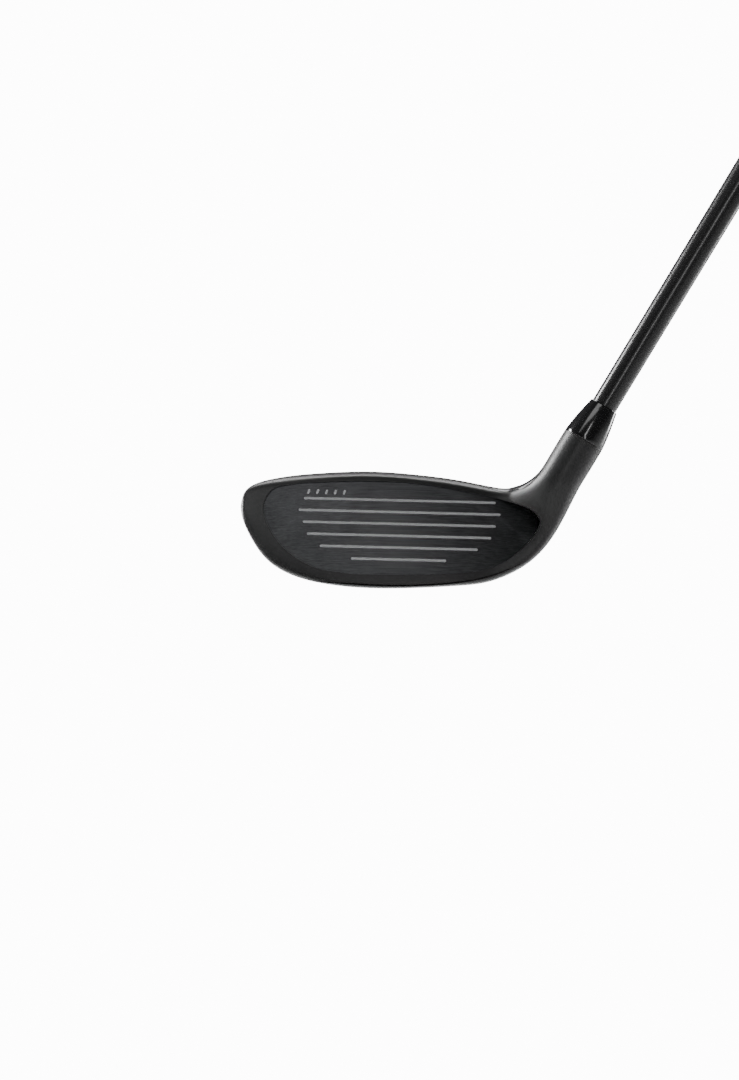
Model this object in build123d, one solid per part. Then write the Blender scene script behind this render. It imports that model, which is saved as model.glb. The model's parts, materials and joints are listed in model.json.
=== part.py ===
"""Hybrid golf club, right-handed, at its real size.

Millimetres. +Z is up, with the score lines level and the sole's lowest point on Z = 0.
The face looks along -Y, the toe is at -X and the shaft leans towards +X in the plane Y = 0.
"""
from build123d import *
import os
from math import cos, sin, tan, radians, hypot

os.makedirs("parts", exist_ok=True)

# ---------------------------------------------------------------- club
LIE = 60.3                    # shaft to ground, degrees
LOFT = 21.0                   # face to vertical, degrees
AXIS_AT_GROUND = 32.7         # X where the shaft axis meets the ground
CLUB_LENGTH = 1003.0          # ground to butt along the shaft axis

# ---------------------------------------------------------------- head
TOE_X = -57.9
TOE_Y = 7.0
TOE_Z = 28.5
HEEL_X = 36.0                 # where the sections begin to turn into the hosel
CROWN_FILLET = 16.0           # radius of the inner side of the hosel blend
FACE_RADIUS = 300.0           # bulge and roll
FACE_CENTRE_Z = 22.0
LEADING_EDGE_Y = -10.0        # face surface at LEADING_EDGE_Z on the centre line
LEADING_EDGE_Z = 3.0
LIP = 0.4                     # how far the body stands in front of the face surface
BODY_WALL = 1.8
SOLE_WALL = 3.2
HEEL_EXTRA = 0.8              # more wall at the hollow's heel end

# ---------------------------------------------------------------- face plate
FACE_PLATE = 2.2              # thickness
FACE_LEDGE = 1.6              # body behind the rim of the plate
FACE_LEDGE_WIDTH = 2.6
GROOVE_WIDTH = 1.0
GROOVE_DEPTH = 0.40
GROOVE_PITCH = 4.23           # seen square on, along Z
GROOVE_TOP_Z = 32.1
GROOVE_HALF_LENGTHS = (34.4, 36.2, 34.5, 33.0, 28.2, 17.0)
GROOVE_CENTRE_X = -0.8
PAINT_BELOW = 0.06            # paint surface below the face surface
MARK_COUNT = 5
MARK_PITCH = 3.2
MARK_START_X = -33.5
MARK_Z = 34.55
MARK_HEIGHT = 1.8
MARK_WIDTH = 0.8
MARK_SLANT = 20.0
MARK_DEPTH = 0.20

# ---------------------------------------------------------------- crown and sole
CROWN_PANEL = 0.9
CROWN_BOND = 0.20
CROWN_LEDGE_WIDTH = 4.0
CROWN_GAP = 0.15              # paint gap round the panel
CROWN_FLOOR_Z = 22.0          # nothing of the panel lies lower
TAIL_X = 43.0                 # from here on it runs up the inner side of the hosel
TAIL_FLOOR_Z = 35.0
SOLE_PLATE = 1.2
SOLE_GAP = 0.45
SOLE_FLOOR = -5.0             # the blocks that cut the sole start here
SOLE_ROOM = 25.0              # and are this high

# ---------------------------------------------------------------- hosel and shaft
HOSEL_OD = 15.2
HOSEL_LENGTH = 15.5           # straight part, up to the ferrule
BORE_DEPTH = 27.0
SHAFT_TIP_OD = 9.40
TIP_PARALLEL = 46.0           # length of shaft at tip diameter
SHAFT_MID = 400.0             # from the tip to where the taper steepens
SHAFT_MID_OD = 11.0
SHAFT_BUTT_OD = 15.2
SHAFT_WALL = 1.9
EPOXY_GAP = 0.10
TIP_CLEARANCE = 1.0           # shaft end above the plug
PLUG_LENGTH = 3.0
TIP_WEIGHT_LENGTH = 14.0
FERRULE_LENGTH = 14.3
FERRULE_TOP_OD = 10.6
FERRULE_BORE_GAP = 0.05
FERRULE_BELLY = 0.25          # how far its middle stands out of a straight cone

# ---------------------------------------------------------------- grip
GRIP_LENGTH = 268.0
GRIP_MOUTH_OD = 17.6
GRIP_BUTT_OD = 27.0
TAPE = 0.25
TAPE_SHORT = 8.0
CAP_THICKNESS = 3.0
CAP_STEM = 6.0
CAP_FLANGE_OD = 28.6
CAP_STEM_GAP = 0.3
VENT_RADIUS = 1.5

# ---------------------------------------------------------------- sole weight
PORT_X = -6.0
PORT_Y = 36.5
PORT_Z = 4.9
PORT_TILT = 24.0              # the port's axis leans back by this, degrees
PORT_FLOOR = 5.6              # recess depth from the sole
SCREW_HEAD_OD = 12.0
SCREW_HEAD = 4.2
SCREW_THREAD_OD = 5.9
SCREW_THREAD = 7.0
SCREW_SOCKET = 4.5            # across the points
SOCKET_LOBE = 0.65
SCREW_SOCKET_DEPTH = 2.8
THREAD_GAP = 0.05
PORT_GAP = 0.30
WASHER = 0.8
WASHER_OD = 11.4
WASHER_HOLE_GAP = 0.25
INSERT_OD = 10.0
INSERT_LENGTH = 8.4
BOSS_WALL = 1.8
SLUG_SIZE = (12.0, 10.0)      # heel to toe, front to back
SLUG_X = -34.0
SLUG_Y = 14.0
SLUG_TOP = 12.0
MELT_RADIUS = 7.0
MELT_X = 14.0
MELT_Y = 12.0
MELT_TOP = 6.0


# ================================================================ frames
AXIS = Vector(cos(radians(LIE)), 0, sin(radians(LIE)))
FAN_X = HEEL_X


def on_axis(height):
    """Point of the shaft axis, measured along it from the ground."""
    return Vector(AXIS_AT_GROUND, 0, 0) + AXIS * height


def shaft_plane(height):
    """Plane square to the shaft, X towards the rear, Z up the shaft."""
    return Plane(origin=on_axis(height), x_dir=(0, 1, 0), z_dir=AXIS)


# The fan of sections turns about a line along Y; the hosel is tangent to its circle.
FAN_OFFSET = CROWN_FILLET + HOSEL_OD / 2
FAN_Z = ((FAN_X - AXIS_AT_GROUND) * sin(radians(LIE)) + FAN_OFFSET) / cos(radians(LIE))
HOSEL_START = (FAN_X - AXIS_AT_GROUND) * cos(radians(LIE)) + FAN_Z * sin(radians(LIE))
HOSEL_END = HOSEL_START + HOSEL_LENGTH
FACE_NORMAL = Vector(0, -cos(radians(LOFT)), sin(radians(LOFT)))
FACE_CENTRE = Vector(0, LEADING_EDGE_Y + (FACE_CENTRE_Z - LEADING_EDGE_Z) * tan(radians(LOFT)), FACE_CENTRE_Z)
BALL_CENTRE = FACE_CENTRE - FACE_NORMAL * FACE_RADIUS


def face_y(x, z):
    """Y of the face surface at x, z."""
    dz = z - BALL_CENTRE.Z
    return BALL_CENTRE.Y - (FACE_RADIUS ** 2 - x * x - dz * dz) ** 0.5


def face_ball(depth):
    """The ball whose surface lies that far behind the face surface."""
    return Pos(BALL_CENTRE) * Sphere(FACE_RADIUS - depth)


# ================================================================ head sections
# x or turn, bottom, top, rear, height of the rear edge, how far it is a circle
HEAD_STATIONS = (
    (-57.0, 24.0, 33.2, 15.5, 27.5),
    (-54.0, 17.6, 36.4, 23.5, 26.0),
    (-48.5, 10.2, 38.5, 31.5, 23.5),
    (-40.0, 4.8, 40.2, 39.0, 21.0),
    (-27.0, 1.5, 41.6, 46.0, 19.0),
    (-11.0, 0.35, 42.4, 49.5, 18.0),
    (6.0, 0.85, 41.6, 47.5, 18.0),
    (22.0, 2.1, 39.8, 40.0, 19.5),
)
FAN_STATIONS = (
    (0.0, 48.2, 28.5, 22.0, 0.06),
    (14.0, 43.3, 20.0, 25.0, 0.30),
    (28.0, 38.0, 13.5, 27.5, 0.62),
    (44.0, 33.2, 9.3, 29.0, 0.90),
)
CIRCLE_ANGLES = (0, 24, 48, 72, 98, 124, 146, 166, 188, 214, 242, 270, 300, 330)


def section_profile(x, bottom, top, rear, rear_z, proud=LIP):
    """Fourteen points (y, z) of a head section, from the keel forwards, up the face and back."""
    scale = min(1.0, (top - bottom) / 36)
    lead_z = bottom + 2.6 * scale
    brow_z = top - 1.3 * scale
    step = (top - 4.2 * scale - lead_z) / 3
    front = face_y(x, lead_z) - proud + 0.4
    brow = face_y(x, brow_z) - proud + 1.4 * scale
    depth = rear - front
    points = [(front + 0.30 * depth, bottom), (front + 2.6 * scale, bottom + 0.5 * scale), (front + 0.1, lead_z)]
    points += [(face_y(x, lead_z + step * n) - proud, lead_z + step * n) for n in (1, 2, 3)]
    points += [(brow, brow_z), (brow + 0.10 * depth, top - 0.15 * scale), (brow + 0.30 * depth, top - 0.3 * scale)]
    points += [(front + 0.68 * depth, top - 0.16 * (top - rear_z))]
    points += [(front + 0.90 * depth, rear_z + 0.52 * (top - rear_z)), (rear, rear_z)]
    points += [(front + 0.92 * depth, rear_z - 0.46 * (rear_z - bottom))]
    points += [(front + 0.66 * depth, bottom + 0.10 * (rear_z - bottom))]
    return points


def circle_profile(reach):
    """The same fourteen points on the hosel's circle; z is the fan's height less the reach."""
    radius = HOSEL_OD / 2
    return [(-radius * sin(radians(a)), FAN_Z - reach - radius * cos(radians(a))) for a in CIRCLE_ANGLES]


def fan_point(turn, y, z):
    """A profile point, with its section turned about the fan's centre line."""
    reach = FAN_Z - z
    return Vector(FAN_X + reach * sin(radians(turn)), y, FAN_Z - reach * cos(radians(turn)))


def section_rows():
    """All sections from toe to hosel end, each a list of fourteen points."""
    rows = [[Vector(x, y, z) for y, z in section_profile(x, *rest)] for x, *rest in HEAD_STATIONS]
    for turn, reach, rear, rear_z, round_share in FAN_STATIONS:
        head = section_profile(FAN_X, FAN_Z - reach, FAN_Z - CROWN_FILLET, rear, rear_z)
        hosel = circle_profile(FAN_OFFSET)
        mixed = [
            (a + (c - a) * round_share, b + (d - b) * round_share) for (a, b), (c, d) in zip(head, hosel)
        ]
        low = min(z for _, z in mixed)
        high = max(z for _, z in mixed)
        stretch = (reach - CROWN_FILLET) / (high - low)
        rows.append([fan_point(turn, y, FAN_Z - reach + (z - low) * stretch) for y, z in mixed])
    ring = circle_profile(FAN_OFFSET)
    for rise in (0.0, HOSEL_LENGTH / 3, HOSEL_LENGTH):
        rows.append([fan_point(LIE, y, z) + AXIS * rise for y, z in ring])
    return rows


ROWS = section_rows()
TOE = Vector(TOE_X, TOE_Y, TOE_Z)
SKIN_OVERRUN = 2.0


def inset_rows(rows, wall):
    """The rows moved inwards by the wall, square to the surface."""
    count = len(rows[0])
    moved = []
    for i, row in enumerate(rows):
        before = rows[i - 1] if i > 0 else [TOE] * count
        after = rows[i + 1] if i + 1 < len(rows) else [p + AXIS for p in row]
        line = []
        for j, point in enumerate(row):
            along = after[j] - before[j]
            around = row[(j + 1) % count] - row[j - 1]
            inward = around.cross(along).normalized()
            line.append(point + inward * wall)
        moved.append(line)
    return moved


def loft_rows(rows, toe):
    """A closed skin through the rows, ending in a point at the toe."""
    count = len(rows[0])
    steps = [n / count for n in range(count + 1)]
    wires = [Wire([Edge.make_spline(row, periodic=True, parameters=steps)]) for row in rows]
    return Solid.make_loft([Vertex(*toe)] + wires)


def skin(wall):
    """The head's outer solid moved in by the wall, and run on past the hosel's end."""
    rows = inset_rows(ROWS, wall)
    rows[-1] = [point + AXIS * SKIN_OVERRUN * (1 + wall) for point in rows[-1]]
    return loft_rows(rows, TOE + Vector(wall, 0, 0))



OUTER = loft_rows(ROWS, TOE)


def cavity():
    """The hollow of the cast body, from behind the toe to a flat end where the hosel blend begins."""
    setback = -(FACE_PLATE + FACE_LEDGE)
    stations = HEAD_STATIONS + ((FAN_X, FAN_Z - FAN_STATIONS[0][1], FAN_Z - CROWN_FILLET) + FAN_STATIONS[0][2:4],)
    rows = []
    for before, here, after in zip(stations[1:], stations[2:], stations[3:]):
        x, bottom, top, rear, rear_z = here
        lean = [hypot(1, (after[n] - before[n]) / (after[0] - before[0])) for n in range(4)]
        inner = (bottom + SOLE_WALL * lean[1], top - BODY_WALL * lean[2], rear - BODY_WALL * lean[3])
        rows.append([Vector(x, y, z) for y, z in section_profile(x, *inner, rear_z, setback)])
    x, bottom, top, rear, rear_z = stations[-1]
    inner = (bottom + SOLE_WALL + HEEL_EXTRA, top - BODY_WALL - HEEL_EXTRA, rear - BODY_WALL - HEEL_EXTRA)
    rows.append([Vector(x, y, z) for y, z in section_profile(x, *inner, rear_z, setback)])
    return loft_rows(rows, Vector(TOE_X + 2.5 * BODY_WALL, TOE_Y + 4, TOE_Z))


# ================================================================ outlines
# Face outline, square on (x, z), from the toe over the top to the heel nose and back.
FACE_OUTLINE = (
    (-49.6, 29.0), (-46.6, 34.9), (-39.9, 36.9), (-30.4, 37.9), (-12.3, 38.8), (7.3, 38.1), (27.2, 35.1),
    (41.1, 31.9), (46.9, 29.3), (49.3, 25.3), (45.4, 18.5), (39.6, 12.9), (33.8, 9.5), (25.5, 7.2),
    (8.0, 5.9), (-8.0, 5.5), (-19.3, 5.7), (-31.2, 7.7), (-41.3, 13.6), (-47.6, 21.8),
)
FACE_OPENING = FACE_OUTLINE[:7] + ((36.0, 32.0), (40.0, 24.0), (36.0, 14.0)) + FACE_OUTLINE[13:]
# Crown panel seen from above (x, y), from the toe along the top edge to the tail and back.
CROWN_OUTLINE = (
    (-53.4, 12.5), (-48.0, 10.6), (-34.0, 9.0), (-16.0, 8.0), (2.0, 7.9), (18.0, 7.7), (31.0, 6.9),
    (38.5, 4.2), (44.0, -0.4), (48.6, -2.6), (51.6, -0.2), (48.6, 3.6), (42.0, 9.4), (34.0, 18.5),
    (24.0, 30.0), (9.0, 40.6), (-9.0, 44.8), (-27.0, 41.2), (-41.0, 32.6), (-50.0, 21.5),
)
WINDOW_OUTLINE = CROWN_OUTLINE[1:6] + CROWN_OUTLINE[14:]
# Upper edge of the sole plate, square on (x, z).
SOLE_EDGE = ((-43.6, 6.4), (-34.0, 3.4), (-20.0, 2.3), (-4.0, 2.0), (12.0, 2.8), (24.0, 4.3), (34.0, 6.9), (46.6, 12.4))
# Rear edge of the sole plate seen from below (x, y).
SOLE_REAR = ((-47.0, 8.0), (-36.0, 20.0), (-20.0, 25.0), (0.0, 22.0), (20.0, 24.0), (36.0, 17.0), (49.0, 6.0))


def shifted(points, inset):
    """A closed outline with every point moved inwards."""
    count = len(points)
    pairs = [(points[n], points[(n + 1) % count]) for n in range(count)]
    side = 1 if sum(a[0] * b[1] - b[0] * a[1] for a, b in pairs) > 0 else -1
    moved = []
    for n, (across, up) in enumerate(points):
        before = points[n - 1]
        after = points[(n + 1) % count]
        along = Vector(after[0] - before[0], after[1] - before[1]).normalized()
        moved.append((across - side * along.Y * inset, up + side * along.X * inset))
    return moved


FRONT_PLANE = Plane.XZ
HEAD_REACH = 60.0             # a block of this half-depth runs through the whole head
TOP = 60.0                    # above everything that the blocks cut


def through_block(flat):
    """A flat shape drawn square on, as a block right through the head."""
    return extrude(FRONT_PLANE * flat, HEAD_REACH, both=True)


def smooth_face(points):
    """A flat face inside a smooth closed curve, one span from each point to the next."""
    count = len(points)
    leads = []
    for n in range(count):
        before = points[n - 1]
        after = points[(n + 1) % count]
        leads.append(Vector(after[0] - before[0], after[1] - before[1]).normalized())
    spans = []
    for n in range(count):
        after = (n + 1) % count
        spans.append(Spline(points[n], points[after], tangents=(leads[n], leads[after])))
    return make_face(spans)


def crown_block(points):
    """A closed outline seen from above, as a block from under the crown's edge to over its top."""
    block = Pos(0, 0, CROWN_FLOOR_Z) * extrude(smooth_face(points), TOP - CROWN_FLOOR_Z)
    return block - Pos(TAIL_X + HEAD_REACH, 0, TAIL_FLOOR_Z - HEAD_REACH) * Box(*[2 * HEAD_REACH] * 3)


# ================================================================ face
def face_block(inset, front_depth, back_depth):
    """The part of the face outline's block between two depths behind the face surface."""
    points = shifted(FACE_OUTLINE, inset) if inset else FACE_OUTLINE
    block = through_block(smooth_face(points))
    return (block & face_ball(front_depth)) - face_ball(back_depth)


def groove_block(index):
    """A score line's slot, run through the face from front to back."""
    z = GROOVE_TOP_Z - index * GROOVE_PITCH
    length = 2 * GROOVE_HALF_LENGTHS[index]
    return through_block(Pos(GROOVE_CENTRE_X, z) * SlotOverall(length, GROOVE_WIDTH))


def mark_block(index):
    """One slanted tick of the mark over the first score line."""
    x = MARK_START_X + index * MARK_PITCH
    return through_block(Pos(x, MARK_Z) * Rot(0, 0, -MARK_SLANT) * SlotOverall(MARK_HEIGHT, MARK_WIDTH, rotation=90))


def build_face():
    """Face plate with its grooves, the paint in them and the painted ticks."""
    grooves = [groove_block(n) for n in range(len(GROOVE_HALF_LENGTHS))]
    marks = [mark_block(n) for n in range(MARK_COUNT)]
    plate = face_block(0, 0, FACE_PLATE)
    for block in grooves:
        plate -= block - face_ball(GROOVE_DEPTH)
    for block in marks:
        plate -= block - face_ball(MARK_DEPTH)
    lines = [(block & face_ball(PAINT_BELOW)) - face_ball(GROOVE_DEPTH) for block in grooves]
    ticks = [(block & face_ball(PAINT_BELOW / 2)) - face_ball(MARK_DEPTH) for block in marks]
    return plate, Compound(lines), Compound(ticks)


# ================================================================ crown and sole


def build_crown():
    """Crown panel, the adhesive under its rim, and what the body loses to both."""
    under_panel = skin(CROWN_PANEL)
    under_bond = skin(CROWN_PANEL + CROWN_BOND)
    seat = crown_block(CROWN_OUTLINE)
    fitted = crown_block(shifted(CROWN_OUTLINE, CROWN_GAP))
    window = crown_block(shifted(WINDOW_OUTLINE, CROWN_LEDGE_WIDTH))
    panel = (OUTER - under_panel) & fitted
    bond = ((under_panel - under_bond) & fitted) - window
    return panel, bond, seat - under_bond, window


def sole_block(gap):
    """The block that bounds the sole plate, drawn in by the gap."""
    edge = [(x, z - gap) for x, z in SOLE_EDGE]
    front = make_face([Spline(*edge), Polyline(edge[-1], (edge[-1][0], SOLE_FLOOR), (edge[0][0], SOLE_FLOOR), edge[0])])
    rear = [(x, y - gap) for x, y in SOLE_REAR]
    ahead = -HEAD_REACH / 2
    plan = make_face([Spline(*rear), Polyline(rear[-1], (rear[-1][0], ahead), (rear[0][0], ahead), rear[0])])
    return through_block(front) & (Pos(0, 0, SOLE_FLOOR) * extrude(plan, SOLE_ROOM))


def build_sole():
    """Sole plate, and what the body loses to it."""
    under_plate = skin(SOLE_PLATE)
    return (OUTER - under_plate) & sole_block(SOLE_GAP), sole_block(0) - under_plate


# ================================================================ turned pieces on the shaft axis
def turned(points):
    """A ring turned about the shaft axis from (radius, height above ground) corners."""
    flat = make_face(Polyline(*points, close=True))
    return shaft_plane(0).location * revolve(Plane.XZ * flat, Axis.Z)


def tube(low, high, inner, outer):
    """A plain sleeve or, with no inner radius, a plug on the shaft axis."""
    return turned([(inner, low), (outer, low), (outer, high), (inner, high)])


BORE_RADIUS = SHAFT_TIP_OD / 2 + EPOXY_GAP
BORE_END = HOSEL_END - BORE_DEPTH
SHAFT_START = BORE_END + PLUG_LENGTH + TIP_CLEARANCE
SHAFT_END = CLUB_LENGTH - CAP_THICKNESS
SHAFT_STEPS = (
    (SHAFT_START, SHAFT_TIP_OD / 2),
    (SHAFT_START + TIP_PARALLEL, SHAFT_TIP_OD / 2),
    (SHAFT_START + SHAFT_MID, SHAFT_MID_OD / 2),
    (SHAFT_END, SHAFT_BUTT_OD / 2),
)
GRIP_START = CLUB_LENGTH - GRIP_LENGTH
TAPE_START = GRIP_START + TAPE_SHORT


def shaft_radius(height):
    """Outer radius of the shaft at a height along its axis."""
    for (low, small), (high, large) in zip(SHAFT_STEPS, SHAFT_STEPS[1:]):
        if height <= high:
            return small + (large - small) * (height - low) / (high - low)
    return SHAFT_STEPS[-1][1]


def build_shaft():
    """Tapered tube, with the swing weight in its tip."""
    outside = [(radius, height) for height, radius in SHAFT_STEPS]
    inside = [(radius - SHAFT_WALL, height) for radius, height in reversed(outside)]
    shaft = turned(outside + inside)
    weight = tube(SHAFT_START, SHAFT_START + TIP_WEIGHT_LENGTH, 0, SHAFT_TIP_OD / 2 - SHAFT_WALL)
    return shaft, weight


def build_ferrule():
    """Tapered collar that carries the hosel's line down to the shaft."""
    bore = SHAFT_TIP_OD / 2 + FERRULE_BORE_GAP
    base = HOSEL_OD / 2
    top = FERRULE_TOP_OD / 2
    end = HOSEL_END + FERRULE_LENGTH
    belly = (base + top) / 2 + FERRULE_BELLY
    return turned(
        [
            (bore, HOSEL_END), (base - 0.2, HOSEL_END), (base, HOSEL_END + 0.2),
            (belly, HOSEL_END + FERRULE_LENGTH / 2), (top, end - 0.3), (top - 0.3, end), (bore, end),
        ]
    )


def build_grip():
    """Tape on the shaft, the rubber sleeve over it and the butt cap."""
    low = shaft_radius(TAPE_START)
    high = shaft_radius(SHAFT_END)
    mouth = shaft_radius(GRIP_START)
    tape = turned([(low, TAPE_START), (low + TAPE, TAPE_START), (high + TAPE, SHAFT_END), (high, SHAFT_END)])
    sleeve = turned(
        [
            (mouth, GRIP_START), (GRIP_MOUTH_OD / 2, GRIP_START), (GRIP_BUTT_OD / 2, SHAFT_END),
            (high + TAPE, SHAFT_END), (low + TAPE, TAPE_START), (low, TAPE_START),
        ]
    )
    stem = high - SHAFT_WALL - CAP_STEM_GAP
    flange = CAP_FLANGE_OD / 2
    cap = turned(
        [
            (VENT_RADIUS, SHAFT_END - CAP_STEM), (stem, SHAFT_END - CAP_STEM), (stem, SHAFT_END),
            (flange - 0.5, SHAFT_END), (flange, SHAFT_END + 0.5), (flange, CLUB_LENGTH - 1.5),
            (flange - 1.5, CLUB_LENGTH), (VENT_RADIUS, CLUB_LENGTH),
        ]
    )
    return tape, sleeve, cap


# ================================================================ sole weight
def port_piece(solid):
    """A piece drawn about Z with the sole at 0 and the head's inside upwards, put at the port."""
    return Pos(PORT_X, PORT_Y, PORT_Z) * Rot(PORT_TILT, 0, 0) * solid


def drum(radius, low, high):
    """A cylinder between two heights."""
    return Pos(0, 0, (low + high) / 2) * Cylinder(radius, high - low)


RECESS_RADIUS = SCREW_HEAD_OD / 2 + PORT_GAP
BOSS_RADIUS = RECESS_RADIUS + BOSS_WALL
BOSS_END = PORT_FLOOR + INSERT_LENGTH + 1.2


def build_weight():
    """Screw, washer and threaded insert."""
    under_head = PORT_FLOOR - WASHER
    head = drum(SCREW_HEAD_OD / 2, under_head - SCREW_HEAD, under_head)
    head = chamfer(head.edges().sort_by(Axis.Z)[0], 0.4)
    thread = drum(SCREW_THREAD_OD / 2, under_head, under_head + SCREW_THREAD)
    thread = chamfer(thread.edges().sort_by(Axis.Z)[-1], 0.5)
    lobes = PolarLocations(SCREW_SOCKET / 2 - SOCKET_LOBE, 6)
    star = Circle(SCREW_SOCKET / 2 - SOCKET_LOBE) + [place * Circle(SOCKET_LOBE) for place in lobes]
    socket = Pos(0, 0, under_head - SCREW_HEAD) * extrude(star, SCREW_SOCKET_DEPTH)
    screw = head + thread - socket
    washer = drum(WASHER_OD / 2, under_head, PORT_FLOOR)
    washer -= drum(SCREW_THREAD_OD / 2 + WASHER_HOLE_GAP, 0, PORT_FLOOR + 1)
    insert = drum(INSERT_OD / 2, PORT_FLOOR, PORT_FLOOR + INSERT_LENGTH)
    insert -= drum(SCREW_THREAD_OD / 2 + THREAD_GAP, 0, BOSS_END)
    return port_piece(screw), port_piece(washer), port_piece(insert)


# ================================================================ body
def build_body(crown_pocket, window, sole_pocket, hollow):
    """The cast body: shell, hosel, pockets for the face, crown and sole, and the weight port."""
    body = OUTER - hollow
    body = body - crown_pocket - window - sole_pocket
    body += port_piece(drum(BOSS_RADIUS, -4.0, BOSS_END)) & OUTER
    body -= port_piece(drum(RECESS_RADIUS, -6.0, PORT_FLOOR))
    body -= port_piece(drum(INSERT_OD / 2, PORT_FLOOR - 1.0, PORT_FLOOR + INSERT_LENGTH))
    outline = through_block(smooth_face(FACE_OUTLINE))
    body -= outline - face_ball(FACE_PLATE)
    opening = through_block(smooth_face(shifted(FACE_OPENING, FACE_LEDGE_WIDTH)))
    body -= (opening & face_ball(FACE_PLATE - 0.5)) - face_ball(FACE_PLATE + 2 * FACE_LEDGE)
    return body - tube(BORE_END, HOSEL_END + SKIN_OVERRUN, 0, BORE_RADIUS)


def build_fillings(hollow):
    """The bonded slug near the toe and the hot melt on the floor of the hollow."""
    length, width = SLUG_SIZE
    slug = (Pos(SLUG_X, SLUG_Y, SLUG_TOP - 20) * Box(length, width, 40)) & hollow
    melt = (Pos(MELT_X, MELT_Y, MELT_TOP - 20) * Cylinder(MELT_RADIUS, 40)) & hollow
    return slug, melt


def main():
    """Build every piece and write one file for each."""
    hollow = cavity()
    panel, crown_bond, crown_pocket, window = build_crown()
    sole_plate, sole_pocket = build_sole()
    face_plate, lines, ticks = build_face()
    shaft, tip_weight = build_shaft()
    tape, sleeve, cap = build_grip()
    screw, washer, insert = build_weight()
    slug, melt = build_fillings(hollow)
    pieces = {
        "head_body": build_body(crown_pocket, window, sole_pocket, hollow),
        "face_plate": face_plate,
        "score_line_paint": lines,
        "face_mark_paint": ticks,
        "crown_panel": panel,
        "crown_bond": crown_bond,
        "sole_plate": sole_plate,
        "weight_insert": insert,
        "weight_washer": washer,
        "weight_screw": screw,
        "toe_slug": slug,
        "hot_melt_pad": melt,
        "hosel_plug": tube(BORE_END, BORE_END + PLUG_LENGTH, 0, BORE_RADIUS),
        "hosel_epoxy": tube(SHAFT_START, HOSEL_END, SHAFT_TIP_OD / 2, BORE_RADIUS),
        "ferrule": build_ferrule(),
        "shaft": shaft,
        "shaft_tip_weight": tip_weight,
        "grip_tape": tape,
        "grip_sleeve": sleeve,
        "grip_cap": cap,
    }
    for name, piece in pieces.items():
        export_step(piece, f"parts/{name}.step")


main()
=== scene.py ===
"""Looks of the hybrid golf club: head, ferrule, shaft, grip and sole weight, in the CAD model's frame."""

from __future__ import annotations

import json
import logging
import math
from dataclasses import dataclass
from enum import Enum

import bmesh
import bpy
import numpy as np
from mathutils import Matrix, Vector

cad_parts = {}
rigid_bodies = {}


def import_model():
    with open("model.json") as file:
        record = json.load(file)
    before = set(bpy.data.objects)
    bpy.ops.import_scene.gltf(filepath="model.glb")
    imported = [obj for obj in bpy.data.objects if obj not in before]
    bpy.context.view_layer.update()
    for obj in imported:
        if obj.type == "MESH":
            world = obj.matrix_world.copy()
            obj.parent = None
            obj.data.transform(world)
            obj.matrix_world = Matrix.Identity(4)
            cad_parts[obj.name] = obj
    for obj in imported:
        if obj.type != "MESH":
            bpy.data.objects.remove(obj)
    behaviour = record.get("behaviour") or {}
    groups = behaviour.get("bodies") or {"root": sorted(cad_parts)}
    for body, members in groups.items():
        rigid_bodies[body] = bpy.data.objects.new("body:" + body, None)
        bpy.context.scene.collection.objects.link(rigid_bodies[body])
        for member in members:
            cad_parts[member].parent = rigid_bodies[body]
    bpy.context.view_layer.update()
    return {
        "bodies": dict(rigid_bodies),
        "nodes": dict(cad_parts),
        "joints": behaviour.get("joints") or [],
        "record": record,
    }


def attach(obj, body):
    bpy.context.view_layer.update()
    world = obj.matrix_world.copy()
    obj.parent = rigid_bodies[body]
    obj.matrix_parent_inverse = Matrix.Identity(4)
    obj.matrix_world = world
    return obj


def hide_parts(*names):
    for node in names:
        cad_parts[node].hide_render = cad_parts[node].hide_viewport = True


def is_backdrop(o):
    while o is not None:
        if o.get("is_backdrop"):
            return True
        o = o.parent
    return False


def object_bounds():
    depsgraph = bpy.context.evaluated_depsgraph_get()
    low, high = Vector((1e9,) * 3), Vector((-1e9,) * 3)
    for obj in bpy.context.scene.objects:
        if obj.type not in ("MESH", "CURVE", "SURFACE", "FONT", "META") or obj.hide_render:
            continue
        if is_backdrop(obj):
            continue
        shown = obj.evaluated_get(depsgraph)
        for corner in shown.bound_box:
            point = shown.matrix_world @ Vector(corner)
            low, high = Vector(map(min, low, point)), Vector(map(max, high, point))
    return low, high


Piece = bpy.types.Object
MM = 0.001
TOOL_FRONT = -40.0
LOG = logging.getLogger("hybrid")


class Body(Enum):
    """The rigid bodies that pieces ride on."""

    CLUB = "club"
    WASHER = "weight_washer"
    SCREW = "weight_screw"


class Slot(Enum):
    """Material slots of the record."""

    BODY = "satin_black_steel"
    FACE = "brushed_face"
    PAINT = "score_paint"
    CROWN = "crown_black"
    SOLE = "sole_grey"
    FERRULE = "ferrule_gloss"
    SHAFT = "shaft_graphite"
    GRIP = "grip_rubber"
    SCREW = "screw_steel"
    WASHER = "washer_nylon"


# ------------------------------------------------------------------ club frame, millimetres


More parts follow.
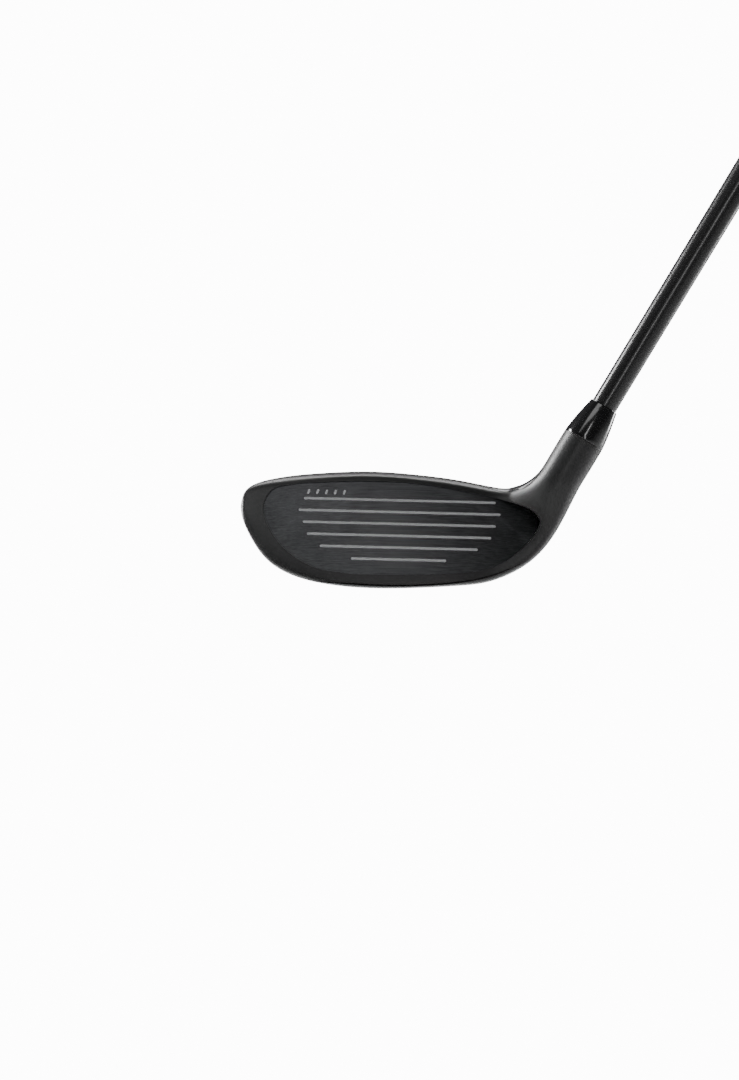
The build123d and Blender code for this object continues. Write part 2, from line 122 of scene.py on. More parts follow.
@dataclass(frozen=True)
class ClubFrame:
    """Driving sizes of the club, in millimetres and degrees."""

    lie: float = 60.3
    loft: float = 21.0
    axis_at_ground: float = 32.7
    length: float = 1003.0
    heel_x: float = 36.0
    fillet: float = 16.0
    hosel_od: float = 15.2
    hosel_length: float = 15.5
    face_radius: float = 300.0
    face_centre_z: float = 22.0
    lead_y: float = -10.0
    lead_z: float = 3.0
    lip: float = 0.4
    toe: tuple[float, float, float] = (-57.9, 7.0, 28.5)

    @property
    def axis(self) -> np.ndarray:
        """Direction of the shaft, upwards."""
        lie = math.radians(self.lie)
        return np.array([math.cos(lie), 0.0, math.sin(lie)])

    @property
    def fan_reach(self) -> float:
        """Distance from the fan's centre line to the shaft axis."""
        return self.fillet + self.hosel_od / 2

    @property
    def fan_z(self) -> float:
        """Height of the fan's centre line."""
        lie = math.radians(self.lie)
        return ((self.heel_x - self.axis_at_ground) * math.sin(lie) + self.fan_reach) / math.cos(lie)

    @property
    def hosel_end(self) -> float:
        """Height of the hosel's end, along the axis from the ground."""
        lie = math.radians(self.lie)
        start = (self.heel_x - self.axis_at_ground) * math.cos(lie) + self.fan_z * math.sin(lie)
        return start + self.hosel_length

    @property
    def ball(self) -> np.ndarray:
        """Centre of the ball whose surface is the face."""
        loft = math.radians(self.loft)
        centre_y = self.lead_y + (self.face_centre_z - self.lead_z) * math.tan(loft)
        normal = np.array([0.0, -math.cos(loft), math.sin(loft)])
        return np.array([0.0, centre_y, self.face_centre_z]) - normal * self.face_radius

    def face_y(self, x: float, z: float, depth: float = 0.0) -> float:
        """Depth of the face surface at a point seen square on.

        Args:
            x: place from toe to heel.
            z: height.
            depth: how far behind the face surface.

        Returns:
            Its Y.
        """
        ball = self.ball
        rise = z - ball[2]
        return float(ball[1] - math.sqrt((self.face_radius - depth) ** 2 - x * x - rise * rise))


CLUB = ClubFrame()


@dataclass(frozen=True)
class Spindle:
    """A line that pieces are turned about, with the direction that counts as ahead."""

    base: tuple[float, float, float]
    up: tuple[float, float, float]

    def place(self, points: np.ndarray) -> np.ndarray:
        """Puts points drawn about Z onto the line."""
        up = np.array(self.up)
        ahead = np.array([0.0, 1.0, 0.0]) - up * up[1]
        ahead /= np.linalg.norm(ahead)
        turn = np.stack([np.cross(ahead, up), ahead, up], axis=1)
        return np.array(self.base) + np.asarray(points) @ turn.T


SHAFT_LINE = Spindle((CLUB.axis_at_ground, 0.0, 0.0), tuple(CLUB.axis))
PORT_TILT = math.radians(24.0)
PORT_LINE = Spindle((-6.0, 36.5, 4.9), (0.0, -math.sin(PORT_TILT), math.cos(PORT_TILT)))


# ------------------------------------------------------------------ mesh helpers


def new_piece(name: str, points: np.ndarray, faces: list[tuple[int, ...]]) -> Piece:
    """Makes an object at the origin from points in millimetres.

    Args:
        name: the piece's name.
        points: its vertices.
        faces: its faces, as vertex numbers.

    Returns:
        The linked object.
    """
    mesh = bpy.data.meshes.new(name)
    mesh.from_pydata((np.asarray(points) * MM).tolist(), [], faces)
    mesh.validate()
    piece = bpy.data.objects.new(name, mesh)
    bpy.context.scene.collection.objects.link(piece)
    return piece


def point_outwards(piece: Piece, merge: float = 1e-7) -> None:
    """Merges doubles and turns every face of a closed mesh outwards."""
    work = bmesh.new()
    work.from_mesh(piece.data)
    bmesh.ops.remove_doubles(work, verts=work.verts, dist=merge)
    bmesh.ops.recalc_face_normals(work, faces=work.faces)
    work.to_mesh(piece.data)
    work.free()


def shade(piece: Piece, angle: float = 32.0) -> None:
    """Shades smooth, with edges over the angle left sharp."""
    piece.data.shade_smooth()
    piece.data.set_sharp_from_angle(angle=math.radians(angle))


def apply_modifiers(piece: Piece) -> None:
    """Turns the evaluated piece into its plain mesh and removes its modifiers."""
    graph = bpy.context.evaluated_depsgraph_get()
    mesh = bpy.data.meshes.new_from_object(piece.evaluated_get(graph), depsgraph=graph)
    piece.modifiers.clear()
    old = piece.data
    piece.data = mesh
    bpy.data.meshes.remove(old)


def combine(piece: Piece, tool: Piece, operation: str = "DIFFERENCE", keep: bool = False) -> None:
    """Cuts a piece with a tool, or joins or limits it.

    Args:
        piece: the closed mesh that changes.
        tool: the closed mesh that it is combined with.
        operation: Blender's name of the operation.
        keep: whether the tool is used again.
    """
    modifier = piece.modifiers.new("combine", "BOOLEAN")
    modifier.solver = "MANIFOLD"
    modifier.operation = operation
    modifier.object = tool
    apply_modifiers(piece)
    if not keep:
        bpy.data.objects.remove(tool)


def rings_to_faces(rings: int, count: int) -> list[tuple[int, ...]]:
    """Quads between closed rings that lie one after another in a vertex list."""
    faces = []
    for ring in range(rings - 1):
        for n in range(count):
            after = (n + 1) % count
            faces.append(
                (
                    ring * count + n, ring * count + after, (ring + 1) * count + after,
                    (ring + 1) * count + n,
                )
            )
    return faces


def turned(name: str, profile: list[tuple[float, float]], line: Spindle, sides: int = 96) -> Piece:
    """A ring or drum turned about a line.

    Args:
        name: the piece's name.
        profile: closed run of (radius, height along the line) corners.
        line: what it turns about.
        sides: faces round the line.

    Returns:
        The closed piece.
    """
    angles = 2 * math.pi * np.arange(sides) / sides
    rings = [
        np.stack([r * np.cos(angles), r * np.sin(angles), np.full(sides, h)], axis=1)
        for r, h in profile
    ]
    faces = rings_to_faces(len(profile), sides)
    last = (len(profile) - 1) * sides
    faces += [(last + n, last + (n + 1) % sides, (n + 1) % sides, n) for n in range(sides)]
    piece = new_piece(name, line.place(np.concatenate(rings)), faces)
    point_outwards(piece)
    shade(piece)
    return piece


def drum(radius: float, low: float, high: float, line: Spindle, sides: int = 96) -> Piece:
    """A plain cylinder, used as a cutting tool."""
    angles = 2 * math.pi * np.arange(sides) / sides
    ring = np.stack([radius * np.cos(angles), radius * np.sin(angles), np.zeros(sides)], axis=1)
    points = np.concatenate([ring + [0, 0, low], ring + [0, 0, high]])
    faces = rings_to_faces(2, sides)
    faces += [tuple(range(sides)), tuple(range(2 * sides - 1, sides - 1, -1))]
    tool = new_piece("tool", line.place(points), faces)
    point_outwards(tool)
    return tool


def rounded(corners: list[tuple[float, float, float]], steps: int = 5) -> list[tuple[float, float]]:
    """A closed profile with its corners rounded.

    Args:
        corners: (radius, height, rounding) of each corner.
        steps: points along each rounding.

    Returns:
        The profile's points.
    """
    result = []
    count = len(corners)
    for n, (radius, height, soft) in enumerate(corners):
        here = np.array([radius, height])
        if soft == 0:
            result.append((radius, height))
            continue
        before = np.array(corners[n - 1][:2]) - here
        after = np.array(corners[(n + 1) % count][:2]) - here
        start = here + before / np.linalg.norm(before) * soft
        end = here + after / np.linalg.norm(after) * soft
        for step in range(steps + 1):
            share = step / steps
            point = start * (1 - share) ** 2 + here * 2 * share * (1 - share) + end * share**2
            result.append((float(point[0]), float(point[1])))
    return result


def smooth_outline(points: tuple[tuple[float, float], ...], per_span: int = 14) -> np.ndarray:
    """A smooth closed curve through the points, with its leads set by their neighbours."""
    corners = np.array(points)
    chords = np.roll(corners, -1, axis=0) - np.roll(corners, 1, axis=0)
    leads = chords / np.linalg.norm(chords, axis=1, keepdims=True)
    result = []
    for n, here in enumerate(corners):
        after = corners[(n + 1) % len(corners)]
        reach = np.linalg.norm(after - here)
        for step in range(per_span):
            t = step / per_span
            h00, h10 = 2 * t**3 - 3 * t**2 + 1, t**3 - 2 * t**2 + t
            h01, h11 = -2 * t**3 + 3 * t**2, t**3 - t**2
            result.append(
                h00 * here + h10 * reach * leads[n] + h01 * after + h11 * reach * leads[
                    (n + 1) % len(corners)
                ]
            )
    return np.array(result)


def inset_outline(outline: np.ndarray, inset: float) -> np.ndarray:
    """A dense closed curve moved inwards."""
    along = np.roll(outline, -1, axis=0) - np.roll(outline, 1, axis=0)
    along /= np.linalg.norm(along, axis=1, keepdims=True)
    after = np.roll(outline, -1, axis=0)
    area = np.sum(outline[:, 0] * after[:, 1] - after[:, 0] * outline[:, 1])
    side = 1.0 if area > 0 else -1.0
    return outline + side * inset * np.stack([-along[:, 1], along[:, 0]], axis=1)


class Lying(Enum):
    """Which way an outline's prism runs."""

    FRONT = "front"
    PLAN = "plan"


def prism(outline: np.ndarray, lying: Lying, low: float, high: float) -> Piece:
    """A closed outline run from low to high across its plane.

    Args:
        outline: the curve's points.
        lying: square on (x, z) or from above (x, y).
        low: where it starts, along Y or Z.
        high: where it ends.

    Returns:
        A closed tool.
    """
    count = len(outline)
    rings = []
    for level in (low, high):
        for across, up in outline:
            rings.append((across, level, up) if lying is Lying.FRONT else (across, up, level))
    faces = rings_to_faces(2, count)
    faces.append(tuple(range(count)))
    faces.append(tuple(range(2 * count - 1, count - 1, -1)))
    tool = new_piece("tool", np.array(rings), faces)
    point_outwards(tool)
    return tool


# ------------------------------------------------------------------ the head's skin


class HeadSkin:
    """The head's outer surface, worked out from a few sections between toe and hosel."""

    # x, bottom, top, rear, height of the rear edge
    stations = (
        (-57.0, 24.0, 33.2, 15.5, 27.5),
        (-54.0, 17.6, 36.4, 23.5, 26.0),
        (-48.5, 10.2, 38.5, 31.5, 23.5),
        (-40.0, 4.8, 40.2, 39.0, 21.0),
        (-27.0, 1.5, 41.6, 46.0, 19.0),
        (-11.0, 0.35, 42.4, 49.5, 18.0),
        (6.0, 0.85, 41.6, 47.5, 18.0),
        (22.0, 2.1, 39.8, 40.0, 19.5),
    )
    # turn, reach, rear, height of the rear edge, how far it is a circle
    fan = (
        (0.0, 48.2, 28.5, 22.0, 0.06),
        (14.0, 43.3, 20.0, 25.0, 0.30),
        (28.0, 38.0, 13.5, 27.5, 0.62),
        (44.0, 33.2, 9.3, 29.0, 0.90),
    )
    angles = (0, 24, 48, 72, 98, 124, 146, 166, 188, 214, 242, 270, 300, 330)

    def profile(
        self, x: float, bottom: float, top: float, rear: float, rear_z: float,
    ) -> list[tuple[float, float]]:
        """Fourteen points (y, z) of a section, from the keel forwards, up the face and back."""
        scale = min(1.0, (top - bottom) / 36)
        lead_z = bottom + 2.6 * scale
        brow_z = top - 1.3 * scale
        step = (top - 4.2 * scale - lead_z) / 3
        front = CLUB.face_y(x, lead_z) - CLUB.lip + 0.4
        brow = CLUB.face_y(x, brow_z) - CLUB.lip + 1.4 * scale
        depth = rear - front
        points = [
            (front + 0.30 * depth, bottom), (front + 2.6 * scale, bottom + 0.5 * scale),
            (front + 0.1, lead_z),
        ]
        points += [(CLUB.face_y(x, lead_z + step * n) - CLUB.lip, lead_z + step * n) for n in (1, 2, 3)]
        points += [
            (brow, brow_z), (brow + 0.10 * depth, top - 0.15 * scale),
            (brow + 0.30 * depth, top - 0.3 * scale),
        ]
        points += [(front + 0.68 * depth, top - 0.16 * (top - rear_z))]
        points += [(front + 0.90 * depth, rear_z + 0.52 * (top - rear_z)), (rear, rear_z)]
        points += [(front + 0.92 * depth, rear_z - 0.46 * (rear_z - bottom))]
        points += [(front + 0.66 * depth, bottom + 0.10 * (rear_z - bottom))]
        return points

    def circle(self) -> list[tuple[float, float]]:
        """The same fourteen points on the hosel's circle."""
        radius = CLUB.hosel_od / 2
        centre = CLUB.fan_z - CLUB.fan_reach
        return [
            (-radius * math.sin(math.radians(a)), centre - radius * math.cos(math.radians(a)))
            for a in self.angles
        ]

    def fan_point(self, turn: float, y: float, z: float) -> np.ndarray:
        """A profile point with its section turned about the fan's centre line."""
        reach = CLUB.fan_z - z
        angle = math.radians(turn)
        return np.array([CLUB.heel_x + reach * math.sin(angle), y, CLUB.fan_z - reach * math.cos(angle)])

    def rows(self, overrun: float = 0.0) -> np.ndarray:
        """Every section from toe to hosel end, as an array of rows of points."""
        rows = [[np.array([x, y, z]) for y, z in self.profile(x, *rest)] for x, *rest in self.stations]
        for turn, reach, rear, rear_z, share in self.fan:
            head = self.profile(CLUB.heel_x, CLUB.fan_z - reach, CLUB.fan_z - CLUB.fillet, rear, rear_z)
            mixed = [
                (a + (c - a) * share, b + (d - b) * share)
                for (a, b), (c, d) in zip(head, self.circle())
            ]
            low = min(z for _, z in mixed)
            stretch = (reach - CLUB.fillet) / (max(z for _, z in mixed) - low)
            rows.append(
                [self.fan_point(turn, y, CLUB.fan_z - reach + (z - low) * stretch) for y, z in mixed]
            )
        for rise in (0.0, CLUB.hosel_length / 3, CLUB.hosel_length + overrun):
            rows.append([self.fan_point(CLUB.lie, y, z) + CLUB.axis * rise for y, z in self.circle()])
        return np.array(rows)

    def inset_rows(self, wall: float, overrun: float) -> np.ndarray:
        """The rows moved inwards, square to the surface."""
        rows = self.rows(overrun)
        toe = np.tile(np.array(CLUB.toe), (rows.shape[1], 1))
        before = np.concatenate([toe[None], rows[:-1]])
        after = np.concatenate([rows[1:], (rows[-1] + CLUB.axis)[None]])
        around = np.roll(rows, -1, axis=1) - np.roll(rows, 1, axis=1)
        inward = np.cross(around, after - before)
        return rows + wall * inward / np.linalg.norm(inward, axis=2, keepdims=True)

    @staticmethod
    def spline_around(rows: np.ndarray, count: int) -> np.ndarray:
        """Closed cubic splines through each row, read at count even places."""
        knots = rows.shape[1]
        system = 4 * np.eye(knots) + np.roll(np.eye(knots), 1, axis=1) + np.roll(
            np.eye(knots), -1, axis=1,
        )
        bend = 6 * (np.roll(rows, -1, axis=1) - 2 * rows + np.roll(rows, 1, axis=1))
        second = np.einsum("ij,rjk->rik", np.linalg.inv(system), bend)
        place = np.arange(count) * knots / count
        low = place.astype(int) % knots
        high = (low + 1) % knots
        t = (place - place.astype(int))[None, :, None]
        return (
            rows[:, low] * (1 - t)
            + rows[:, high] * t
            + second[:, low] * ((1 - t) ** 3 - (1 - t)) / 6
            + second[:, high] * (t**3 - t) / 6
        )

    @staticmethod
    def spline_along(rows: np.ndarray, places: np.ndarray) -> np.ndarray:
        """Natural cubic splines from row to row, read at places between 0 and 1."""
        gaps = np.linalg.norm(np.diff(rows, axis=0), axis=2).mean(axis=1)
        knots = np.concatenate([[0.0], np.cumsum(gaps)])
        knots /= knots[-1]
        count = len(knots)
        h = np.diff(knots)
        system = np.eye(count)
        right = np.zeros((count,) + rows.shape[1:])
        for n in range(1, count - 1):
            system[n, n - 1 : n + 2] = (h[n - 1], 2 * (h[n - 1] + h[n]), h[n])
            right[n] = 6 * ((rows[n + 1] - rows[n]) / h[n] - (rows[n] - rows[n - 1]) / h[n - 1])
        second = np.linalg.solve(system, right.reshape(count, -1)).reshape(right.shape)
        low = np.clip(np.searchsorted(knots, places, side="right") - 1, 0, count - 2)
        width = h[low][:, None, None]
        a = (knots[low + 1] - places)[:, None, None] / width
        b = 1 - a
        return (
            a * rows[low]
            + b * rows[low + 1]
            + ((a**3 - a) * second[low] + (b**3 - b) * second[low + 1]) * width**2 / 6
        )

    def piece(
        self, name: str, wall: float, around: int = 280, along: int = 170, overrun: float = 0.0,
    ) -> Piece:
        """The closed skin moved in by a wall.

        Args:
            name: the piece's name.
            wall: how far inside the outer surface it lies.
            around: points round each section.
            along: sections from toe to hosel.
            overrun: how far it runs past the hosel's end.

        Returns:
            The closed piece.
        """
        rows = self.inset_rows(wall, overrun) if wall else self.rows(overrun)
        dense = self.spline_around(rows, around)
        toe = np.array(CLUB.toe) + np.array([wall, 0.0, 0.0])
        dense = np.concatenate([np.tile(toe, (1, around, 1)), dense])
        places = np.linspace(0, 1, along)
        places = 0.55 * places + 0.45 * places**1.8
        grid = self.spline_along(dense, places[1:])
        points = np.concatenate([toe[None], grid.reshape(-1, 3), grid[-1].mean(axis=0)[None]])
        faces = [(0, 1 + (n + 1) % around, 1 + n) for n in range(around)]
        faces += [tuple(1 + v for v in face) for face in rings_to_faces(along - 1, around)]
        last = 1 + (along - 2) * around
        tip = len(points) - 1
        faces += [(tip, last + n, last + (n + 1) % around) for n in range(around)]
        piece = new_piece(name, points, faces)
        point_outwards(piece)
        return piece


# ------------------------------------------------------------------ head pieces

FACE_OUTLINE = (
    (-49.6, 29.0), (-46.6, 34.9), (-39.9, 36.9), (-30.4, 37.9), (-12.3, 38.8), (7.3, 38.1), (27.2, 35.1),
    (41.1, 31.9), (46.9, 29.3), (49.3, 25.3), (45.4, 18.5), (39.6, 12.9), (33.8, 9.5), (25.5, 7.2),
    (8.0, 5.9), (-8.0, 5.5), (-19.3, 5.7), (-31.2, 7.7), (-41.3, 13.6), (-47.6, 21.8),
)
CROWN_OUTLINE = (
    (-53.4, 12.5), (-48.0, 10.6), (-34.0, 9.0), (-16.0, 8.0), (2.0, 7.9), (18.0, 7.7), (31.0, 6.9),
    (38.5, 4.2), (44.0, -0.4), (48.6, -2.6), (51.6, -0.2), (48.6, 3.6), (42.0, 9.4), (34.0, 18.5),
    (24.0, 30.0), (9.0, 40.6), (-9.0, 44.8), (-27.0, 41.2), (-41.0, 32.6), (-50.0, 21.5),
)
SOLE_EDGE = (
    (-43.6, 6.4), (-34.0, 3.4), (-20.0, 2.3), (-4.0, 2.0), (12.0, 2.8), (24.0, 4.3), (34.0, 6.9),
    (46.6, 12.4),
)
SOLE_REAR = (
    (-47.0, 8.0), (-36.0, 20.0), (-20.0, 25.0), (0.0, 22.0), (20.0, 24.0), (36.0, 17.0), (49.0, 6.0),
)


@dataclass(frozen=True)
class ScoreLines:
    """Sizes of the score lines and of the row of ticks over them."""

    half_lengths: tuple[float, ...] = (34.4, 36.2, 34.5, 33.0, 28.2, 17.0)
    centre_x: float = -0.8
    top_z: float = 32.1
    pitch: float = 4.23
    width: float = 1.0
    depth: float = 0.40
    tick_count: int = 5
    tick_start: tuple[float, float] = (-33.5, 34.55)
    tick_pitch: float = 3.2
    tick_size: tuple[float, float] = (0.8, 1.8)
    tick_slant: float = 20.0


LINES = ScoreLines()


class HeadPieces:
    """Body, face plate, crown panel and sole plate, cut from the same skin."""

    face_plate = 2.2
    face_gap = 0.02
    panel = 0.9
    crown_gap = 0.28
    sole_plate = 1.2
    sole_gap = 0.55
    port_radius = 6.3
    port_floor = 5.6
    bore_radius = 4.8
    bore_depth = 27.0

    def __init__(self) -> None:
        """Makes the skins that the pockets and panels are cut with."""
        self.skin = HeadSkin()
        self.under_panel = self.skin.piece("under_panel", self.panel, 220, 130, 2.0)
        self.under_plate = self.skin.piece("under_plate", self.sole_plate, 220, 130, 2.0)

    def dish(self, outline: np.ndarray, front: float | None, back: float, rings: int = 46) -> Piece:
        """A plate inside an outline, following the face surface.

        Args:
            outline: its edge, square on.
            front: how far its front lies behind the face surface, or None for a tool open to the front.
            back: how far its back lies behind the face surface.
            rings: rings of points from the middle to the edge.

        Returns:
            The closed piece.
        """
        centre = np.array([0.0, CLUB.face_centre_z])
        count = len(outline)
        shares = np.arange(1, rings + 1) / rings
        layers = [(front, share) for share in shares] + [(back, share) for share in shares[::-1]]
        points = []
        for depth, share in layers + [(front, 0.0), (back, 0.0)]:
            spots = centre + (outline - centre) * share
            for x, z in spots if share else [centre]:
                points.append((x, TOOL_FRONT if depth is None else CLUB.face_y(x, z, depth), z))
        faces = rings_to_faces(2 * rings, count)
        tip = 2 * rings * count
        faces += [(tip, (n + 1) % count, n) for n in range(count)]
        last = (2 * rings - 1) * count
        faces += [(tip + 1, last + n, last + (n + 1) % count) for n in range(count)]
        piece = new_piece("dish", np.array(points), faces)
        point_outwards(piece)
        return piece

    def slots(self) -> Piece:
        """All score lines as one cutting tool, open to the front."""
        points = []
        faces = []
        radius = LINES.width / 2
        for index, half in enumerate(LINES.half_lengths):
            z = LINES.top_z - index * LINES.pitch
            cap = [half - radius + radius * math.sin(math.radians(a)) for a in range(0, 91, 10)]
            places = [-x for x in reversed(cap)] + list(
                np.linspace(-half + radius, half - radius, 60)[1:-1]
            ) + cap
            first = len(points)
            for x in places:
                past = max(0.0, abs(x) - (half - radius))
                wide = max(0.02, math.sqrt(max(0.0, radius**2 - past**2)))
                across = x + LINES.centre_x
                low, high = z - wide, z + wide
                points += [(across, TOOL_FRONT, low), (across, TOOL_FRONT, high)]
                points += [(across, CLUB.face_y(across, h, LINES.depth), h) for h in (high, low)]
            faces += [tuple(first + v for v in face) for face in rings_to_faces(len(places), 4)]
            end = first + 4 * (len(places) - 1)
            faces += [(first, first + 1, first + 2, first + 3), (end + 3, end + 2, end + 1, end)]
        tool = new_piece("slots", np.array(points), faces)
        point_outwards(tool)
        return tool

    def crown_tool(self, inset: float) -> Piece:
        """The block over the crown's outline, without what hangs below its tail."""
        tool = prism(inset_outline(smooth_outline(CROWN_OUTLINE), inset), Lying.PLAN, 22.0, 75.0)
        tail = np.array(
            [(43.0 - inset, -70.0), (160.0, -70.0), (160.0, 35.0 + inset), (43.0 - inset, 35.0 + inset)]
        )
        combine(tool, prism(tail, Lying.FRONT, -60.0, 60.0))
        return tool

    def sole_tool(self, gap: float) -> Piece:
        """The block that bounds the sole plate, drawn in by the gap."""
        edge = self.open_curve(SOLE_EDGE)
        ends = np.minimum((edge[:, 0] - edge[0, 0]) / 30.0, (edge[-1, 0] - edge[:, 0]) / 14.0)
        edge[:, 1] -= gap * np.clip(ends, 0.0, 1.0)
        rear = self.open_curve(SOLE_REAR) - [0, gap]
        front = np.concatenate([edge, [(edge[-1, 0], -5.0), (edge[0, 0], -5.0)]])
        plan = np.concatenate([rear, [(rear[-1, 0], -30.0), (rear[0, 0], -30.0)]])
        tool = prism(front, Lying.FRONT, -60.0, 60.0)
        combine(tool, prism(plan, Lying.PLAN, -6.0, 21.0), "INTERSECT")
        return tool

    @staticmethod
    def open_curve(points: tuple[tuple[float, float], ...]) -> np.ndarray:
        """A smooth open curve through the points."""
        return HeadSkin.spline_along(np.array(points)[:, None, :], np.linspace(0, 1, 120))[:, 0]

    def body(self) -> Piece:
        """The cast body, with its pockets, port and bore."""
        body = self.skin.piece("body_shell", 0.0, 300, 190)
        seat = self.crown_tool(0.0)
        combine(seat, self.under_panel, keep=True)
        combine(body, seat)
        pocket = self.sole_tool(0.0)
        combine(pocket, self.under_plate, keep=True)
        combine(body, pocket)
        combine(body, self.dish(smooth_outline(FACE_OUTLINE), None, self.face_plate))
        combine(body, drum(self.port_radius, -8.0, self.port_floor, PORT_LINE))
        bore_end = CLUB.hosel_end - self.bore_depth
        combine(body, drum(self.bore_radius, bore_end, CLUB.hosel_end + 5.0, SHAFT_LINE))
        shade(body, 30)
        return body

    def face(self) -> Piece:
        """The milled face plate with its score lines."""
        edge = inset_outline(smooth_outline(FACE_OUTLINE), self.face_gap)
        plate = self.dish(edge, 0.0, self.face_plate - self.face_gap)
        plate.name = "face_insert"
        combine(plate, self.slots())
        shade(plate, 30)
        return plate

    def crown(self) -> Piece:
        """The thin crown panel."""
        panel = self.skin.piece("crown_skin", 0.0, 300, 190)
        combine(panel, self.crown_tool(self.crown_gap), "INTERSECT")
        combine(panel, self.under_panel, keep=True)
        shade(panel, 30)
        return panel

    def sole(self) -> Piece:
        """The sole plate."""
        plate = self.skin.piece("sole_skin", 0.0, 300, 190)
        combine(plate, self.sole_tool(self.sole_gap), "INTERSECT")
        combine(plate, self.under_plate, keep=True)
        shade(plate, 30)
        return plate

    def clear(self) -> None:
        """Removes the tools that were kept."""
        for tool in (self.under_panel, self.under_plate):
            bpy.data.objects.remove(tool)


# ------------------------------------------------------------------ shaft, ferrule, grip and weight


class ShaftPieces:
    """Everything turned about the shaft's axis."""

    grip_length = 268.0
    cap = 3.0

    def radius(self, height: float) -> float:
        """Outer radius of the shaft at a height along its axis."""
        start = CLUB.hosel_end - 23.0
        steps = (
            (start, 4.70), (start + 46.0, 4.70), (start + 400.0, 5.50), (CLUB.length - self.cap, 7.60),
        )
        return float(np.interp(height, [h for h, _ in steps], [r for _, r in steps]))

    def ferrule(self) -> Piece:
        """The tapered collar over the hosel's end."""
        low, length = CLUB.hosel_end, 14.3
        outer = [(7.28, low + 0.03), (7.45, low + 0.10), (7.56, low + 0.24), (7.6, low + 0.45)]
        for step in range(1, 13):
            share = step / 13
            outer.append(
                (
                    7.6 + (5.3 - 7.6) * share + math.sin(math.pi * share) * 0.25,
                    low + 0.45 + share * 13.3,
                )
            )
        top = low + length
        outer += [(5.33, top - 0.35), (5.27, top - 0.16), (5.14, top - 0.04), (4.98, top)]
        return turned("ferrule_collar", outer + [(4.76, top), (4.76, low + 0.03)], SHAFT_LINE, 128)

    def shaft(self) -> Piece:
        """The tapered tube, down to its end in the bore."""
        start, end = CLUB.hosel_end - 23.0, CLUB.length - self.cap - 0.05
        heights = np.unique(np.concatenate([np.linspace(start, end, 90), [start + 46.0, start + 400.0]]))
        outside = [(self.radius(h), float(h)) for h in heights]
        inside = [(r - 1.9, h) for r, h in reversed(outside)]
        return turned("shaft_tube", outside + inside, SHAFT_LINE, 96)

    def sleeve_radius(self, height: float) -> float:
        """Outer radius of the grip's rubber between its treads."""
        low = CLUB.length - self.grip_length
        return float(np.interp(height, [low, CLUB.length - self.cap], [8.8, 13.5])) - 0.35

    def sleeve(self) -> Piece:
        """The grip's sleeve, with a collar at its mouth and rings near both ends."""
        low, high = CLUB.length - self.grip_length, CLUB.length - self.cap
        outer = [
            (self.radius(low) + 0.02, low), (8.2, low), (8.6, low + 0.25), (8.8, low + 0.8),
            (8.84, low + 5.0), (8.6, low + 5.6),
        ]
        for ring in (8.0, 11.0, 14.0):
            wide = self.sleeve_radius(low + ring)
            outer += [
                (wide, low + ring - 0.9), (wide + 0.33, low + ring - 0.6),
                (wide + 0.33, low + ring + 0.6), (wide, low + ring + 0.9),
            ]
        outer += [(self.sleeve_radius(h), float(h)) for h in np.linspace(low + 16, high - 22, 60)]
        for ring in (20.0, 16.0, 12.0):
            wide = self.sleeve_radius(high - ring)
            outer += [
                (wide, high - ring - 0.9), (wide + 0.33, high - ring - 0.5),
                (wide + 0.33, high - ring + 0.5), (wide, high - ring + 0.9),
            ]
        outer += [(self.sleeve_radius(high - 9) + 0.3, high - 9.5), (13.45, high - 0.3), (13.2, high)]
        inner = [
            (self.radius(high) + 0.27, high), (self.radius(low) + 0.27, low + 8.0),
            (self.radius(low) + 0.02, low + 7.9),
        ]
        return turned("grip_rubber_sleeve", outer + inner, SHAFT_LINE, 128)

    def butt_cap(self) -> Piece:
        """The cap with its vent hole and a ring groove."""
        end = CLUB.length
        corners = [
            (1.5, end - 9.0, 0), (5.3, end - 9.0, 0.3), (5.3, end - 3.0, 0), (
                14.25, end - 3.0, 0.5,
            ), (14.25, end, 1.4),
            (11.4, end, 0.15), (
                11.2, end - 0.5, 0.12,
            ), (10.2, end - 0.5, 0.12), (10.0, end, 0.15), (4.2, end, 0.3),
            (3.2, end - 0.9, 0.3), (1.9, end - 0.9, 0.2), (1.5, end - 1.3, 0.1),
        ]
        return turned("grip_butt_cap", rounded(corners), SHAFT_LINE, 128)


